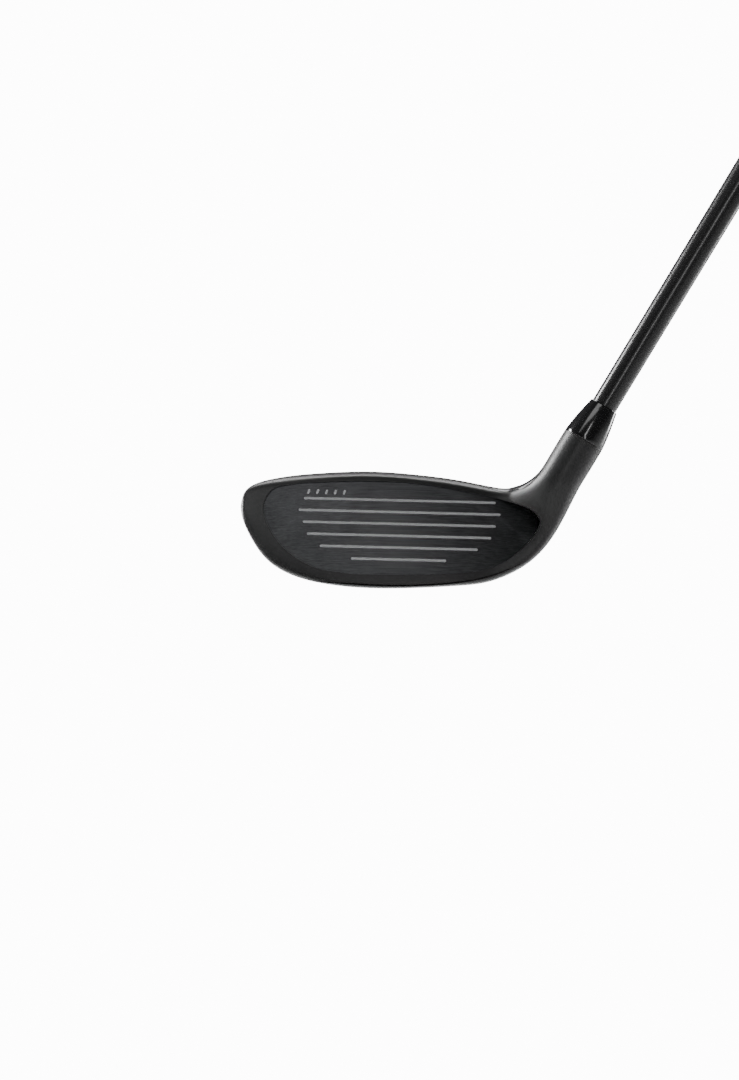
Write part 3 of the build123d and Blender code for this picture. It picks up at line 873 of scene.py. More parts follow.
class WeightPieces:
    """Screw and washer of the sole weight, drawn about the port's line with the head's inside upwards."""

    floor = 5.6
    washer_height = 0.8

    def washer(self) -> Piece:
        """The nylon ring under the screw's head."""
        low = self.floor - self.washer_height
        corners = [
            (3.2, low + 0.02, 0.1), (5.7, low + 0.02, 0.2), (5.7, self.floor - 0.02, 0.2),
            (3.2, self.floor - 0.02, 0.1),
        ]
        return turned("sole_weight_washer", rounded(corners, 3), PORT_LINE, 72)

    def screw(self) -> Piece:
        """The headed screw with its star socket, a ring groove and threads."""
        under = self.floor - self.washer_height
        top = under - 4.2
        corners = [
            (0.0001, top, 0), (4.4, top, 0.1), (4.55, top + 0.25, 0.1), (4.95, top + 0.25, 0.1),
            (5.1, top, 0.1),
        ]
        corners += [(6.0, top, 0.42), (6.0, under, 0.15), (2.95, under, 0.1)]
        outer = rounded(corners[1:], 4)
        height = under + 0.8
        while height < under + 6.4:
            outer += [(2.93, height), (2.5, height + 0.25), (2.5, height + 0.45), (2.93, height + 0.7)]
            height += 1.0
        outer += [(2.9, under + 6.6), (2.45, under + 7.0), (0.0001, under + 7.0)]
        screw = turned("sole_weight_screw", [(0.0001, top)] + outer, PORT_LINE, 96)
        point_outwards(screw, 1e-6)
        points = []
        for step in range(144):
            angle = 2 * math.pi * step / 144
            points.append((1.93 + 0.32 * math.cos(6 * angle), angle))
        rings = [
            [(r * math.cos(a), r * math.sin(a), h) for r, a in points]
            for h in (top - 1.0, top + 2.8)
        ]
        faces = rings_to_faces(2, 144) + [tuple(range(144)), tuple(range(287, 143, -1))]
        tool = new_piece("tool", PORT_LINE.place(np.array(rings).reshape(-1, 3)), faces)
        point_outwards(tool)
        combine(screw, tool)
        shade(screw, 35)
        return screw


# ------------------------------------------------------------------ geometry nodes


class NodeTree:
    """A thin helper over a node tree: adds nodes, sets their values and links them."""

    def __init__(self, tree: bpy.types.NodeTree) -> None:
        """Starts with an empty tree to fill."""
        self.tree = tree
        self.count = 0

    def add(
        self, kind: str, values: dict[str | int, object] | None = None, **settings: object,
    ) -> bpy.types.Node:
        """Adds a node.

        Args:
            kind: its type name.
            values: socket name or number to a value, or to a socket that is linked in.
            **settings: properties of the node.

        Returns:
            The node.
        """
        node = self.tree.nodes.new(kind)
        self.count += 1
        node.location = (180 * self.count, -40 * (self.count % 6))
        for name, value in settings.items():
            setattr(node, name, value)
        for key, value in (values or {}).items():
            socket = node.inputs[key]
            if isinstance(value, bpy.types.NodeSocket):
                self.tree.links.new(value, socket)
            else:
                socket.default_value = value
        return node

    def math(self, operation: str, *values: object) -> bpy.types.NodeSocket:
        """A Math node's result."""
        return self.add("ShaderNodeMath", dict(enumerate(values)), operation=operation).outputs[0]

    def vector_math(self, operation: str, *values: object) -> bpy.types.NodeSocket:
        """A Vector Math node's result."""
        node = self.add("ShaderNodeVectorMath", dict(enumerate(values)), operation=operation)
        return node.outputs["Value" if operation in ("LENGTH", "DISTANCE", "DOT_PRODUCT") else "Vector"]


class Repeats:
    """Geometry Nodes groups for what repeats: painted marks on the face and the grip's tread."""

    def __init__(self) -> None:
        """Builds both groups."""
        self.marks = self.build_marks()
        self.tread = self.build_tread()

    @staticmethod
    def group(name: str, inputs: dict[str, tuple[str, ...]]) -> bpy.types.GeometryNodeTree:
        """An empty geometry group with inputs named under their kinds, and one mesh output."""
        tree = bpy.data.node_groups.new(name, "GeometryNodeTree")
        tree.interface.new_socket("Geometry", in_out="OUTPUT", socket_type="NodeSocketGeometry")
        for kind, labels in inputs.items():
            for label in labels:
                tree.interface.new_socket(label, in_out="INPUT", socket_type=f"NodeSocket{kind}")
        return tree

    def build_marks(self) -> bpy.types.GeometryNodeTree:
        """Round-ended marks in a row, laid onto the face's ball as a thin film."""
        sizes = ("Half Width", "Slant", "Ball Radius", "Film")
        lengths = tuple(f"Half Length {n + 1}" for n in range(6))
        kinds = {"Int": ("Count",), "Vector": ("Start", "Step", "Ball"), "Float": sizes + lengths}
        tree = self.group("painted_marks", kinds | {"Material": ("Finish",)})
        nodes = NodeTree(tree)
        given = nodes.add("NodeGroupInput").outputs
        unit = 1.0 * MM
        wide = nodes.math("MULTIPLY", given["Half Width"], 2.0)
        long = nodes.math("ADD", wide, 2 * unit)
        strip = nodes.add("GeometryNodeCurvePrimitiveQuadrilateral", {"Width": long, "Height": wide})
        radius = nodes.math("MULTIPLY", given["Half Width"], 0.999)
        soft = nodes.add(
            "GeometryNodeFilletCurve", {"Curve": strip.outputs[0], "Radius": radius, "Count": 8},
            mode="POLY",
        )
        even = nodes.add(
            "GeometryNodeResampleCurve", {
                "Curve": soft.outputs[0], "Length": 0.035 * MM,
            }, mode="LENGTH",
        )
        flat = nodes.add("GeometryNodeFillCurve", {"Curve": even.outputs[0]}, mode="TRIANGLES")
        row = nodes.add(
            "GeometryNodeMeshLine",
            {"Count": given["Count"], "Start Location": given["Start"], "Offset": given["Step"]},
        )
        number = nodes.add("GeometryNodeInputIndex").outputs[0]
        choose = nodes.add("GeometryNodeIndexSwitch", data_type="FLOAT")
        for _ in range(4):
            choose.index_switch_items.new()
        nodes.tree.links.new(number, choose.inputs["Index"])
        for n in range(6):
            nodes.tree.links.new(given[f"Half Length {n + 1}"], choose.inputs[n + 1])
        spot = nodes.add("GeometryNodeInputPosition").outputs[0]
        noted = nodes.add(
            "GeometryNodeStoreNamedAttribute",
            {"Geometry": row.outputs[0], "Name": "half_length", "Value": choose.outputs[0]},
            data_type="FLOAT", domain="POINT",
        )
        noted = nodes.add(
            "GeometryNodeStoreNamedAttribute", {"Geometry": noted.outputs[0], "Name": "home"},
            data_type="FLOAT_VECTOR", domain="POINT",
        )
        nodes.tree.links.new(spot, noted.inputs["Value"])
        placed = nodes.add(
            "GeometryNodeInstanceOnPoints", {"Points": noted.outputs[0], "Instance": flat.outputs[0]},
        )
        real = nodes.add("GeometryNodeRealizeInstances", {"Geometry": placed.outputs[0]})
        reach = nodes.add(
            "GeometryNodeInputNamedAttribute", {"Name": "half_length"}, data_type="FLOAT",
        ).outputs[0]
        home = nodes.add(
            "GeometryNodeInputNamedAttribute", {"Name": "home"}, data_type="FLOAT_VECTOR",
        ).outputs[0]
        local = nodes.add(
            "ShaderNodeSeparateXYZ",
            {0: nodes.vector_math("SUBTRACT", nodes.add("GeometryNodeInputPosition").outputs[0], home)},
        )
        middle = nodes.add(
            "ShaderNodeClamp", {"Value": local.outputs[0], "Min": -unit, "Max": unit},
        ).outputs[0]
        past = nodes.math("SUBTRACT", local.outputs[0], middle)
        stretch = nodes.math("DIVIDE", nodes.math("SUBTRACT", reach, given["Half Width"]), unit)
        x = nodes.math("ADD", nodes.math("MULTIPLY", middle, stretch), past)
        shaped = nodes.add("ShaderNodeCombineXYZ", {"X": x, "Y": 0.0, "Z": local.outputs[1]}).outputs[0]
        leaning = nodes.add(
            "ShaderNodeVectorRotate", {"Vector": shaped, "Angle": given["Slant"]},
            rotation_type="Y_AXIS",
        ).outputs[0]
        spread = nodes.add("ShaderNodeSeparateXYZ", {0: nodes.vector_math("ADD", leaning, home)})
        centre = nodes.add("ShaderNodeSeparateXYZ", {0: given["Ball"]})
        dx = nodes.math("SUBTRACT", spread.outputs[0], centre.outputs[0])
        dz = nodes.math("SUBTRACT", spread.outputs[2], centre.outputs[2])
        square = nodes.math("MULTIPLY", given["Ball Radius"], given["Ball Radius"])
        left = nodes.math(
            "SUBTRACT", nodes.math("SUBTRACT", square, nodes.math("MULTIPLY", dx, dx)),
            nodes.math("MULTIPLY", dz, dz),
        )
        y = nodes.math("SUBTRACT", centre.outputs[1], nodes.math("SQRT", left))
        laid = nodes.add(
            "ShaderNodeCombineXYZ", {"X": spread.outputs[0], "Y": y, "Z": spread.outputs[2]},
        ).outputs[0]
        moved = nodes.add("GeometryNodeSetPosition", {"Geometry": real.outputs[0], "Position": laid})
        film = nodes.add(
            "GeometryNodeExtrudeMesh",
            {"Mesh": moved.outputs[0], "Offset Scale": given["Film"], "Individual": False},
        )
        back = nodes.add("GeometryNodeFlipFaces", {"Mesh": moved.outputs[0]})
        both = nodes.add("GeometryNodeJoinGeometry")
        nodes.tree.links.new(film.outputs[0], both.inputs[0])
        nodes.tree.links.new(back.outputs[0], both.inputs[0])
        whole = nodes.add("GeometryNodeMergeByDistance", {"Geometry": both.outputs[0], "Distance": 1e-6})
        real = nodes.add("GeometryNodeRealizeInstances", {"Geometry": whole.outputs[0]})
        painted = nodes.add(
            "GeometryNodeSetMaterial", {"Geometry": real.outputs[0], "Material": given["Finish"]},
        )
        nodes.add("NodeGroupOutput", {0: painted.outputs[0]})
        return tree

    def build_tread(self) -> bpy.types.GeometryNodeTree:
        """Small raised lozenges in staggered rings round the shaft's axis."""
        sizes = ("First", "Pitch", "Mouth Radius", "Growth", "Lozenge", "Height")
        kinds = {"Int": ("Rings", "Around", "Seed"), "Float": sizes, "Vector": ("Base", "Lean")}
        tree = self.group("grip_tread", kinds | {"Material": ("Finish",)})
        nodes = NodeTree(tree)
        given = nodes.add("NodeGroupInput").outputs
        count = nodes.math("MULTIPLY", given["Rings"], given["Around"])
        row = nodes.add("GeometryNodeMeshLine", {"Count": count})
        number = nodes.add("GeometryNodeInputIndex").outputs[0]
        ring = nodes.math("FLOOR", nodes.math("DIVIDE", nodes.math("ADD", number, 0.5), given["Around"]))
        place = nodes.math("SUBTRACT", number, nodes.math("MULTIPLY", ring, given["Around"]))
        odd = nodes.math("MULTIPLY", nodes.math("MODULO", ring, 2.0), 0.5)
        share = nodes.math("DIVIDE", nodes.math("ADD", place, odd), given["Around"])
        angle = nodes.math("MULTIPLY", share, 2 * math.pi)
        along = nodes.math("MULTIPLY", ring, given["Pitch"])
        radius = nodes.math("ADD", given["Mouth Radius"], nodes.math("MULTIPLY", along, given["Growth"]))
        out = nodes.add(
            "ShaderNodeCombineXYZ",
            {"X": nodes.math("COSINE", angle), "Y": nodes.math("SINE", angle), "Z": 0.0},
        ).outputs[0]
        rise = nodes.add(
            "ShaderNodeCombineXYZ", {"X": 0.0, "Y": 0.0, "Z": nodes.math("ADD", along, given["First"])},
        ).outputs[0]
        scaled = nodes.add(
            "ShaderNodeVectorMath", {0: out, "Scale": radius}, operation="SCALE",
        ).outputs[0]
        put = nodes.add(
            "GeometryNodeSetPosition",
            {"Geometry": row.outputs[0], "Position": nodes.vector_math("ADD", scaled, rise)},
        )
        lozenge = nodes.add(
            "GeometryNodeMeshCone",
            {
                "Vertices": 4, "Side Segments": 1,
                "Radius Top": nodes.math("MULTIPLY", given["Lozenge"], 0.72),
                "Radius Bottom": given["Lozenge"], "Depth": given["Height"],
            },
        )
        facing = nodes.add("FunctionNodeAlignRotationToVector", {"Vector": out}, axis="Z").outputs[0]
        size = nodes.add("FunctionNodeRandomValue", {"Seed": given["Seed"]}, data_type="FLOAT")
        size.inputs[2].default_value, size.inputs[3].default_value = 0.94, 1.04
        placed = nodes.add(
            "GeometryNodeInstanceOnPoints",
            {
                "Points": put.outputs[0], "Instance": lozenge.outputs[0], "Rotation": facing,
                "Scale": size.outputs[1],
            },
        )
        real = nodes.add("GeometryNodeRealizeInstances", {"Geometry": placed.outputs[0]})
        whole = nodes.add(
            "GeometryNodeTransform",
            {"Geometry": real.outputs[0], "Translation": given["Base"], "Rotation": given["Lean"]},
        )
        painted = nodes.add(
            "GeometryNodeSetMaterial", {"Geometry": whole.outputs[0], "Material": given["Finish"]},
        )
        nodes.add("NodeGroupOutput", {0: painted.outputs[0]})
        return tree

    @staticmethod
    def grow(name: str, tree: bpy.types.GeometryNodeTree, values: dict[str, object]) -> Piece:
        """A plain mesh made by a geometry group.

        Args:
            name: the piece's name.
            tree: the group.
            values: its inputs by name.

        Returns:
            The piece, without its modifier.
        """
        piece = bpy.data.objects.new(name, bpy.data.meshes.new(name))
        bpy.context.scene.collection.objects.link(piece)
        modifier = piece.modifiers.new("repeat", "NODES")
        modifier.node_group = tree
        for item in tree.interface.items_tree:
            if item.in_out == "INPUT" and item.name in values:
                modifier[item.identifier] = values[item.name]
        apply_modifiers(piece)
        for attribute in [a.name for a in piece.data.attributes if a.name in ("home", "half_length")]:
            piece.data.attributes.remove(piece.data.attributes[attribute])
        return piece

    def score_lines(self, finish: bpy.types.Material) -> Piece:
        """The paint in the score lines."""
        values = {
            "Count": 6, "Start": (LINES.centre_x * MM, 0.0, LINES.top_z * MM),
            "Step": (0.0, 0.0, -LINES.pitch * MM),
        }
        values |= {
            "Half Width": (LINES.width / 2 - 0.02) * MM, "Slant": 0.0, "Film": 0.18 * MM,
            "Finish": finish,
        }
        values |= {"Ball": tuple(CLUB.ball * MM), "Ball Radius": (CLUB.face_radius - 0.26) * MM}
        values |= {
            f"Half Length {n + 1}": (half - 0.02) * MM
            for n, half in enumerate(LINES.half_lengths)
        }
        return self.grow("score_line_film", self.marks, values)

    def ticks(self, finish: bpy.types.Material) -> Piece:
        """The slanted ticks over the first score line."""
        x, z = LINES.tick_start
        wide, high = LINES.tick_size
        values = {
            "Count": LINES.tick_count, "Start": (x * MM, 0.0, z * MM),
            "Step": (LINES.tick_pitch * MM, 0.0, 0.0),
        }
        values |= {
            "Half Width": wide / 2 * MM, "Slant": math.radians(LINES.tick_slant - 90),
            "Film": 0.05 * MM, "Finish": finish,
        }
        values |= {"Ball": tuple(CLUB.ball * MM), "Ball Radius": (CLUB.face_radius - 0.02) * MM}
        values |= {f"Half Length {n + 1}": high / 2 * MM for n in range(6)}
        return self.grow("face_tick_film", self.marks, values)

    def grip_tread(self, shaft: ShaftPieces, finish: bpy.types.Material) -> Piece:
        """The raised tread on the grip's sleeve."""
        low, high = CLUB.length - shaft.grip_length + 18.0, CLUB.length - shaft.cap - 24.0
        pitch = 2.6
        rings = int((high - low) / pitch)
        growth = (shaft.sleeve_radius(high) - shaft.sleeve_radius(low)) / (high - low)
        values = {
            "Rings": rings, "Around": 20, "First": low * MM, "Pitch": pitch * MM, "Growth": growth,
            "Seed": 7,
        }
        values |= {
            "Mouth Radius": (shaft.sleeve_radius(low) - 0.05) * MM, "Lozenge": 1.12 * MM,
            "Height": 0.36 * MM,
        }
        values |= {
            "Base": (CLUB.axis_at_ground * MM, 0.0, 0.0),
            "Lean": (0.0, math.radians(90 - CLUB.lie), 0.0), "Finish": finish,
        }
        return self.grow("grip_tread_lozenges", self.tread, values)


# ------------------------------------------------------------------ finishes


class Texture(Enum):
    """What the surface's fine relief is."""

    BEAD = "bead"
    GRAIN = "grain"


@dataclass(frozen=True)
class Finish:
    """One material: colours, gloss and the size of its relief."""

    slot: str
    colour: tuple[float, float, float]
    second: tuple[float, float, float]
    rough: tuple[float, float]
    metal: float = 0.0
    specular: float = 0.5
    texture: Texture = Texture.BEAD
    cell: float = 0.25
    relief: float = 0.1
    depth: float = 0.03
    coat: float = 0.0
    coat_rough: float = 0.05
    anisotropy: float = 0.0
    dust: float = 0.15
    edge: float = 0.0


FINISHES = (
    Finish(
        "satin_black_steel", (0.0075, 0.0075, 0.008), (0.012, 0.012, 0.0125), (0.38, 0.46),
        specular=0.5, cell=0.16, relief=0.07, depth=0.012, edge=0.16,
    ),
    Finish(
        "brushed_face", (0.035, 0.036, 0.038), (0.085, 0.087, 0.09), (0.34, 0.50), 1.0,
        texture=Texture.GRAIN, cell=0.22, relief=0.30, depth=0.010, anisotropy=0.55, dust=0.05,
    ),
    Finish(
        "score_paint", (0.46, 0.47, 0.48), (0.40, 0.41, 0.42), (0.45, 0.55), cell=0.12, relief=0.15,
        depth=0.01, dust=0.1,
    ),
    Finish(
        "crown_black", (0.005, 0.005, 0.0055), (0.008, 0.008, 0.0085), (0.30, 0.38), specular=0.6,
        cell=0.30, relief=0.22, depth=0.02, dust=0.2,
    ),
    Finish(
        "sole_grey", (0.060, 0.061, 0.063), (0.085, 0.086, 0.088), (0.32, 0.44), 0.85,
        texture=Texture.GRAIN, cell=0.2, relief=0.2, depth=0.008, edge=0.16,
    ),
    Finish(
        "adhesive", (0.35, 0.24, 0.10), (0.46, 0.33, 0.15), (0.25, 0.45), cell=0.8, relief=0.4,
        depth=0.05,
    ),
    Finish(
        "brass_insert", (0.62, 0.42, 0.16), (0.50, 0.33, 0.12), (0.25, 0.40), 1.0,
        texture=Texture.GRAIN, cell=0.15, relief=0.2, depth=0.01,
    ),
    Finish(
        "washer_nylon", (0.62, 0.60, 0.54), (0.55, 0.53, 0.48), (0.45, 0.60), cell=0.3, relief=0.2,
        depth=0.02,
    ),
    Finish(
        "screw_steel", (0.30, 0.30, 0.31), (0.42, 0.42, 0.43), (0.24, 0.36), 1.0, texture=Texture.GRAIN,
        cell=0.12, relief=0.25, depth=0.008, edge=0.12,
    ),
    Finish(
        "tungsten", (0.20, 0.20, 0.21), (0.28, 0.28, 0.29), (0.40, 0.55), 1.0, cell=0.4, relief=0.4,
        depth=0.04,
    ),
    Finish(
        "nylon_plug", (0.10, 0.10, 0.11), (0.14, 0.14, 0.15), (0.50, 0.65), cell=0.4, relief=0.3,
        depth=0.03,
    ),
    Finish(
        "ferrule_gloss", (0.004, 0.004, 0.0045), (0.006, 0.006, 0.0065), (0.13, 0.18), specular=0.5,
        cell=1.2, relief=0.05, depth=0.01, coat=0.4, dust=0.1,
    ),
    Finish(
        "shaft_graphite", (0.006, 0.006, 0.0065), (0.010, 0.010, 0.0105), (0.24, 0.30), specular=0.45,
        cell=0.5, relief=0.08, depth=0.01, coat=0.25, coat_rough=0.12, dust=0.12,
    ),
    Finish(
        "tape_paper", (0.72, 0.66, 0.52), (0.64, 0.58, 0.45), (0.70, 0.85), cell=0.4, relief=0.4,
        depth=0.03,
    ),
    Finish(
        "grip_rubber", (0.014, 0.014, 0.0145), (0.022, 0.022, 0.023), (0.55, 0.72), specular=0.4,
        cell=0.35, relief=0.35, depth=0.04, dust=0.35,
    ),
)


class Paintbox:
    """Shared shader groups, and the material of every slot."""

    def __init__(self) -> None:
        """Builds the shared groups, then every slot's material."""
        self.groups = {
            Texture.BEAD: self.relief_group(Texture.BEAD),
            Texture.GRAIN: self.relief_group(Texture.GRAIN),
        }
        self.patches = self.patch_group()
        self.made = {finish.slot: self.material(finish) for finish in FINISHES}

    @staticmethod
    def group(
        name: str, inputs: tuple[str, ...], outputs: tuple[tuple[str, str], ...],
    ) -> bpy.types.ShaderNodeTree:
        """A shader group with float inputs, taking object coordinates as its first input."""
        tree = bpy.data.node_groups.new(name, "ShaderNodeTree")
        tree.interface.new_socket("Coordinates", in_out="INPUT", socket_type="NodeSocketVector")
        for label in inputs:
            tree.interface.new_socket(label, in_out="INPUT", socket_type="NodeSocketFloat")
        for label, kind in outputs:
            tree.interface.new_socket(label, in_out="OUTPUT", socket_type=kind)
        return tree

    def relief_group(self, texture: Texture) -> bpy.types.ShaderNodeTree:
        """Fine relief: beads of paint, or brushed lines along X."""
        tree = self.group(
            f"{texture.value}_relief", ("Cell", "Relief", "Depth"),
            (("Value", "NodeSocketFloat"), ("Normal", "NodeSocketVector")),
        )
        nodes = NodeTree(tree)
        given = nodes.add("NodeGroupInput").outputs
        scale = nodes.math("DIVIDE", 1.0, given["Cell"])
        if texture is Texture.GRAIN:
            stretched = nodes.add(
                "ShaderNodeMapping", {"Vector": given["Coordinates"], "Scale": (0.006, 1.0, 1.0)},
            ).outputs[0]
            first = nodes.add(
                "ShaderNodeTexNoise",
                {"Vector": stretched, "Scale": scale, "Detail": 3.0, "Roughness": 0.65},
            ).outputs[0]
            long = nodes.add(
                "ShaderNodeMapping", {"Vector": given["Coordinates"], "Scale": (0.0015, 0.45, 0.45)},
            ).outputs[0]
            second = nodes.add(
                "ShaderNodeTexNoise", {"Vector": long, "Scale": scale, "Detail": 2.0},
            ).outputs[0]
        else:
            first = nodes.add(
                "ShaderNodeTexNoise", {"Vector": given["Coordinates"], "Scale": scale, "Detail": 2.0},
            ).outputs[0]
            second = nodes.add(
                "ShaderNodeTexVoronoi",
                {"Vector": given["Coordinates"], "Scale": nodes.math("MULTIPLY", scale, 1.4)},
            ).outputs[0]
        mixed = nodes.add("ShaderNodeMix", {0: 0.4, 2: first, 3: second}).outputs[0]
        value = nodes.add("ShaderNodeMapRange", {0: mixed, 1: 0.3, 2: 0.7}).outputs[0]
        bump = nodes.add(
            "ShaderNodeBump", {
                "Strength": given["Relief"], "Distance": given["Depth"], "Height": mixed,
            },
        ).outputs[0]
        nodes.add("NodeGroupOutput", {"Value": value, "Normal": bump})
        return tree

    def patch_group(self) -> bpy.types.ShaderNodeTree:
        """Broad handling marks and a little dust that lies on what faces up."""
        tree = self.group(
            "handling_and_dust", ("Dust",), (("Smear", "NodeSocketFloat"), ("Dust", "NodeSocketFloat")),
        )
        nodes = NodeTree(tree)
        given = nodes.add("NodeGroupInput").outputs
        broad = nodes.add(
            "ShaderNodeTexNoise",
            {"Vector": given["Coordinates"], "Scale": 55.0, "Detail": 4.0, "Roughness": 0.6},
        ).outputs[0]
        smear = nodes.add("ShaderNodeMapRange", {0: broad, 1: 0.35, 2: 0.68}).outputs[0]
        specks = nodes.add(
            "ShaderNodeTexNoise", {"Vector": given["Coordinates"], "Scale": 2600.0, "Detail": 1.0},
        ).outputs[0]
        sharp = nodes.add("ShaderNodeMapRange", {0: specks, 1: 0.70, 2: 0.80}).outputs[0]
        normal = nodes.add(
            "ShaderNodeSeparateXYZ", {0: nodes.add("ShaderNodeNewGeometry").outputs["Normal"]},
        ).outputs[2]
        upward = nodes.add("ShaderNodeMapRange", {0: normal, 1: 0.1, 2: 0.9}).outputs[0]
        lying = nodes.math("MULTIPLY", nodes.math("MULTIPLY", upward, sharp), given["Dust"])
        nodes.add("NodeGroupOutput", {"Smear": smear, "Dust": lying})
        return tree

    def material(self, finish: Finish) -> bpy.types.Material:
        """Builds a slot's material.

        Args:
            finish: its colours, gloss and relief.

        Returns:
            The material.
        """
        material = bpy.data.materials.new(finish.slot)
        material.use_nodes = True
        material.node_tree.nodes.clear()
        nodes = NodeTree(material.node_tree)
        place = nodes.add("ShaderNodeTexCoord").outputs["Object"]
        relief = nodes.add("ShaderNodeGroup", node_tree=self.groups[finish.texture])
        nodes.tree.links.new(place, relief.inputs[0])
        relief.inputs["Cell"].default_value = finish.cell * MM
        relief.inputs["Relief"].default_value = finish.relief
        relief.inputs["Depth"].default_value = finish.depth * MM
        patches = nodes.add("ShaderNodeGroup", node_tree=self.patches)
        nodes.tree.links.new(place, patches.inputs[0])
        patches.inputs["Dust"].default_value = finish.dust
        blend = {0: relief.outputs["Value"], 6: (*finish.colour, 1.0), 7: (*finish.second, 1.0)}
        colour = nodes.add("ShaderNodeMix", blend, data_type="RGBA").outputs[2]
        dusty = nodes.add(
            "ShaderNodeMix", {0: patches.outputs["Dust"], 6: colour, 7: (0.30, 0.29, 0.27, 1.0)},
            data_type="RGBA",
        ).outputs[2]
        gloss = nodes.math(
            "MULTIPLY_ADD", relief.outputs["Value"], 0.5,
            nodes.math("MULTIPLY", patches.outputs["Smear"], 0.5),
        )
        rough = nodes.add(
            "ShaderNodeMapRange", {0: gloss, 3: finish.rough[0], 4: finish.rough[1]},
        ).outputs[0]
        normal = relief.outputs["Normal"]
        if finish.edge:
            soft = nodes.add("ShaderNodeBevel", {"Radius": finish.edge * MM, "Normal": normal}, samples=4)
            normal = soft.outputs[0]
        values = {"Base Color": dusty, "Roughness": rough, "Normal": normal, "Metallic": finish.metal}
        values |= {
            "Specular IOR Level": finish.specular, "Coat Weight": finish.coat,
            "Coat Roughness": finish.coat_rough,
        }
        values |= {"Anisotropic": finish.anisotropy}
        if finish.anisotropy:
            values["Tangent"] = nodes.add(
                "ShaderNodeTangent", direction_type="RADIAL", axis="X",
            ).outputs[0]
        shader = nodes.add("ShaderNodeBsdfPrincipled", values)
        nodes.add("ShaderNodeOutputMaterial", {"Surface": shader.outputs[0]})
        return material

    def wear(self, piece: Piece, slot: str) -> None:
        """Gives a piece its slot's material."""
        piece.data.materials.clear()
        piece.data.materials.append(self.made[slot])


# ------------------------------------------------------------------ studio


@dataclass(frozen=True)
class SoftBox:
    """One rectangular light, in metres, aimed at a point."""

    name: str
    place: tuple[float, float, float]
    aim: tuple[float, float, float]
    size: tuple[float, float]
    power: float


class Studio:
    """White surroundings, soft lights and the camera."""

    boxes = (
        SoftBox("key_over_front", (-0.35, -1.15, 1.25), (0.0, 0.0, 0.03), (0.9, 0.5), 4.2),
        SoftBox("rim_toe", (-1.1, 0.35, 0.25), (-0.03, 0.0, 0.03), (0.25, 1.1), 60.0),
        SoftBox("rim_heel", (1.05, 0.62, 0.10), (0.05, 0.0, 0.05), (0.25, 1.1), 16.0),
        SoftBox("top_back", (0.0, 0.9, 1.3), (0.0, 0.0, 0.03), (1.2, 0.4), 16.0),
        SoftBox("strip_front", (0.10, -1.9, 0.45), (0.12, 0.0, 0.12), (0.10, 0.9), 3.2),
    )
    backdrop_glow = 13.0
    surround = 0.09

    def lights(self) -> None:
        """Adds the soft boxes."""
        for box in self.boxes:
            data = bpy.data.lights.new(box.name, "AREA")
            data.shape = "RECTANGLE"
            data.size, data.size_y = box.size
            data.energy = box.power
            lamp = bpy.data.objects.new(box.name, data)
            bpy.context.scene.collection.objects.link(lamp)
            lamp.location = box.place
            lamp.rotation_euler = (
                Vector(box.aim) - Vector(box.place)
            ).to_track_quat("-Z", "Y").to_euler()
            lamp.visible_camera = False

    def surroundings(self) -> None:
        """White behind the club, dimmer all round for what it mirrors."""
        world = bpy.data.worlds.new("studio")
        bpy.context.scene.world = world
        world.use_nodes = True
        world.node_tree.nodes.clear()
        nodes = NodeTree(world.node_tree)
        seen = nodes.add("ShaderNodeLightPath").outputs["Is Camera Ray"]
        strength = nodes.add(
            "ShaderNodeMix", {0: seen, 2: self.surround, 3: self.backdrop_glow},
        ).outputs[0]
        glow = nodes.add("ShaderNodeBackground", {"Color": (1.0, 1.0, 1.0, 1.0), "Strength": strength})
        nodes.add("ShaderNodeOutputWorld", {"Surface": glow.outputs[0]})

    def floor(self) -> None:
        """A plain pale floor under the head, well below it because the club is held by its grip."""
        corners = [
            (x, y, -200.0)
            for x, y in ((-30000, -30000), (30000, -30000), (30000, 30000), (-30000, 30000))
        ]
        floor = new_piece("studio_floor", np.array(corners), [(0, 1, 2, 3)])
        material = bpy.data.materials.new("pale_floor")
        material.use_nodes = True
        material.node_tree.nodes.clear()
        nodes = NodeTree(material.node_tree)
        seen = nodes.add("ShaderNodeLightPath").outputs["Is Camera Ray"]
        plain = nodes.add("ShaderNodeBsdfDiffuse", {"Color": (0.8, 0.8, 0.8, 1.0)}).outputs[0]
        glow = nodes.add("ShaderNodeEmission", {"Strength": self.backdrop_glow}).outputs[0]
        both = nodes.add("ShaderNodeMixShader", {0: seen, 1: plain, 2: glow}).outputs[0]
        nodes.add("ShaderNodeOutputMaterial", {"Surface": both})
        floor.data.materials.append(material)
        floor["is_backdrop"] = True

    def camera(self) -> None:
        """A long lens square on to the face, rolled a little."""
        data = bpy.data.cameras.new("camera")
        data.lens, data.sensor_width = 135.0, 36.0
        data.clip_start, data.clip_end = 0.05, 200.0
        camera = bpy.data.objects.new("camera", data)
        bpy.context.scene.collection.objects.link(camera)
        roll = math.radians(1.45)
        right = Vector((math.cos(roll), 0.0, math.sin(roll)))
        back = Vector((0.0, -1.0, 0.0))
        turn = Matrix((right, back.cross(right), back)).transposed()
        camera.matrix_world = Matrix.Translation((-0.0113, -1.447, 0.0177)) @ turn.to_4x4()
        bpy.context.scene.camera = camera

    def build(self) -> None:
        """Everything round the club."""
        self.lights()
        self.surroundings()
        self.floor()
        self.camera()


# ------------------------------------------------------------------ the whole


@dataclass(frozen=True)
class Placing:
    """Which body a piece rides on, what it stands for and its slot."""

    body: Body
    nodes: tuple[str, ...]
    slot: Slot


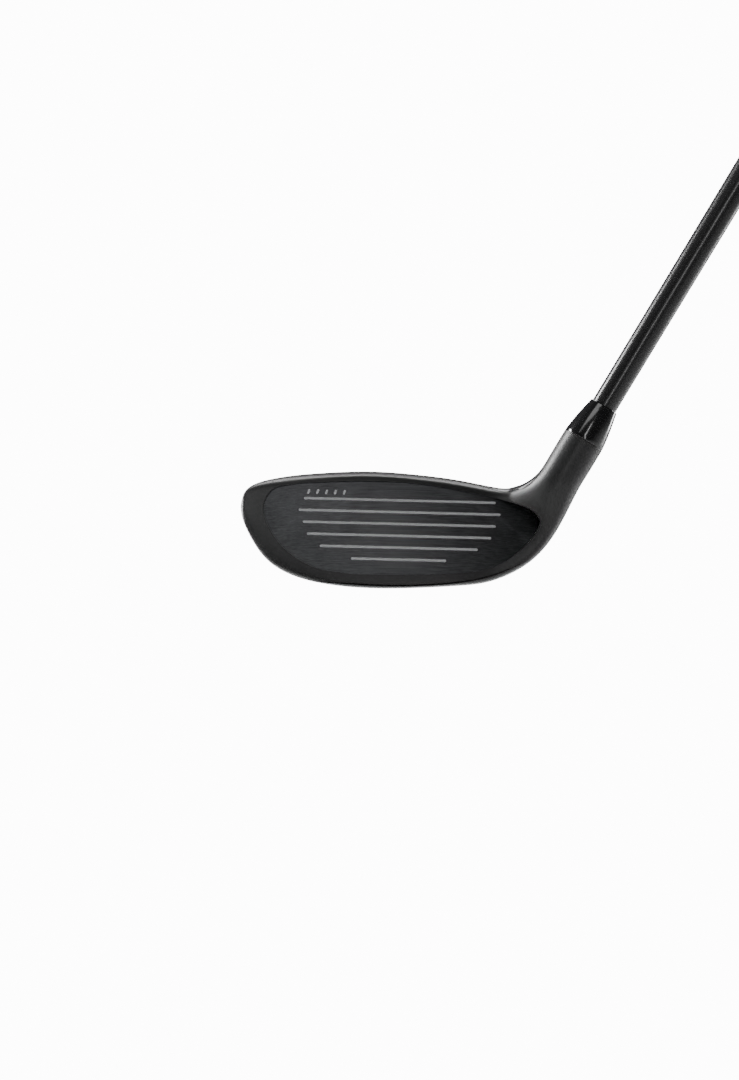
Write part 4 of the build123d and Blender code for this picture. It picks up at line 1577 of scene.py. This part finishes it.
class Club:
    """Builds every visible piece and dresses the CAD nodes that stay."""

    def __init__(self, frame: dict[str, object]) -> None:
        """Keeps the loaded frame and makes the materials."""
        self.frame = frame
        self.paint = Paintbox()

    def put(self, piece: Piece, placing: Placing) -> None:
        """Attaches a finished piece to its body."""
        self.paint.wear(piece, placing.slot.value)
        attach(piece, placing.body.value)
        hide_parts(*placing.nodes)
        LOG.info("%s: %d triangles", piece.name, sum(len(p.vertices) - 2 for p in piece.data.polygons))

    def head(self) -> None:
        """Body, face, crown and sole."""
        pieces = HeadPieces()
        self.put(pieces.body(), Placing(Body.CLUB, ("head_body",), Slot.BODY))
        self.put(pieces.face(), Placing(Body.CLUB, ("face_plate",), Slot.FACE))
        self.put(pieces.crown(), Placing(Body.CLUB, ("crown_panel",), Slot.CROWN))
        self.put(pieces.sole(), Placing(Body.CLUB, ("sole_plate",), Slot.SOLE))
        pieces.clear()

    def marks(self, repeats: Repeats) -> None:
        """Paint in the score lines, and the ticks."""
        finish = self.paint.made[Slot.PAINT.value]
        self.put(repeats.score_lines(finish), Placing(Body.CLUB, ("score_line_paint",), Slot.PAINT))
        self.put(repeats.ticks(finish), Placing(Body.CLUB, ("face_mark_paint",), Slot.PAINT))

    def stick(self, repeats: Repeats) -> None:
        """Ferrule, shaft and grip."""
        pieces = ShaftPieces()
        self.put(pieces.ferrule(), Placing(Body.CLUB, ("ferrule",), Slot.FERRULE))
        self.put(pieces.shaft(), Placing(Body.CLUB, ("shaft",), Slot.SHAFT))
        self.put(pieces.sleeve(), Placing(Body.CLUB, ("grip_sleeve",), Slot.GRIP))
        self.put(pieces.butt_cap(), Placing(Body.CLUB, ("grip_cap",), Slot.GRIP))
        tread = repeats.grip_tread(pieces, self.paint.made[Slot.GRIP.value])
        self.put(tread, Placing(Body.CLUB, ("grip_sleeve",), Slot.GRIP))

    def weight(self) -> None:
        """Screw and washer of the sole weight."""
        pieces = WeightPieces()
        self.put(pieces.washer(), Placing(Body.WASHER, ("weight_washer",), Slot.WASHER))
        self.put(pieces.screw(), Placing(Body.SCREW, ("weight_screw",), Slot.SCREW))

    def inner(self) -> None:
        """Gives the CAD nodes that stay their slot's material."""
        for row in self.frame["record"]["subparts"]:
            node = self.frame["nodes"][row["node"]]
            if not node.hide_render:
                self.paint.wear(node, row["material_slot"])

    def build(self) -> None:
        """Everything, from the head to the grip."""
        repeats = Repeats()
        self.head()
        self.marks(repeats)
        self.stick(repeats)
        self.weight()
        self.inner()


def corners() -> list[list[float]]:
    """The shown object's lowest and highest corners as plain lists."""
    return [list(corner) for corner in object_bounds()]


def main() -> None:
    """Loads the frame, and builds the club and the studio."""
    logging.basicConfig(level=logging.INFO, format="%(message)s")
    for thing in list(bpy.data.objects):
        bpy.data.objects.remove(thing)
    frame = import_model()
    Club(frame).build()
    Studio().build()


if __name__ == "__main__":
    main()
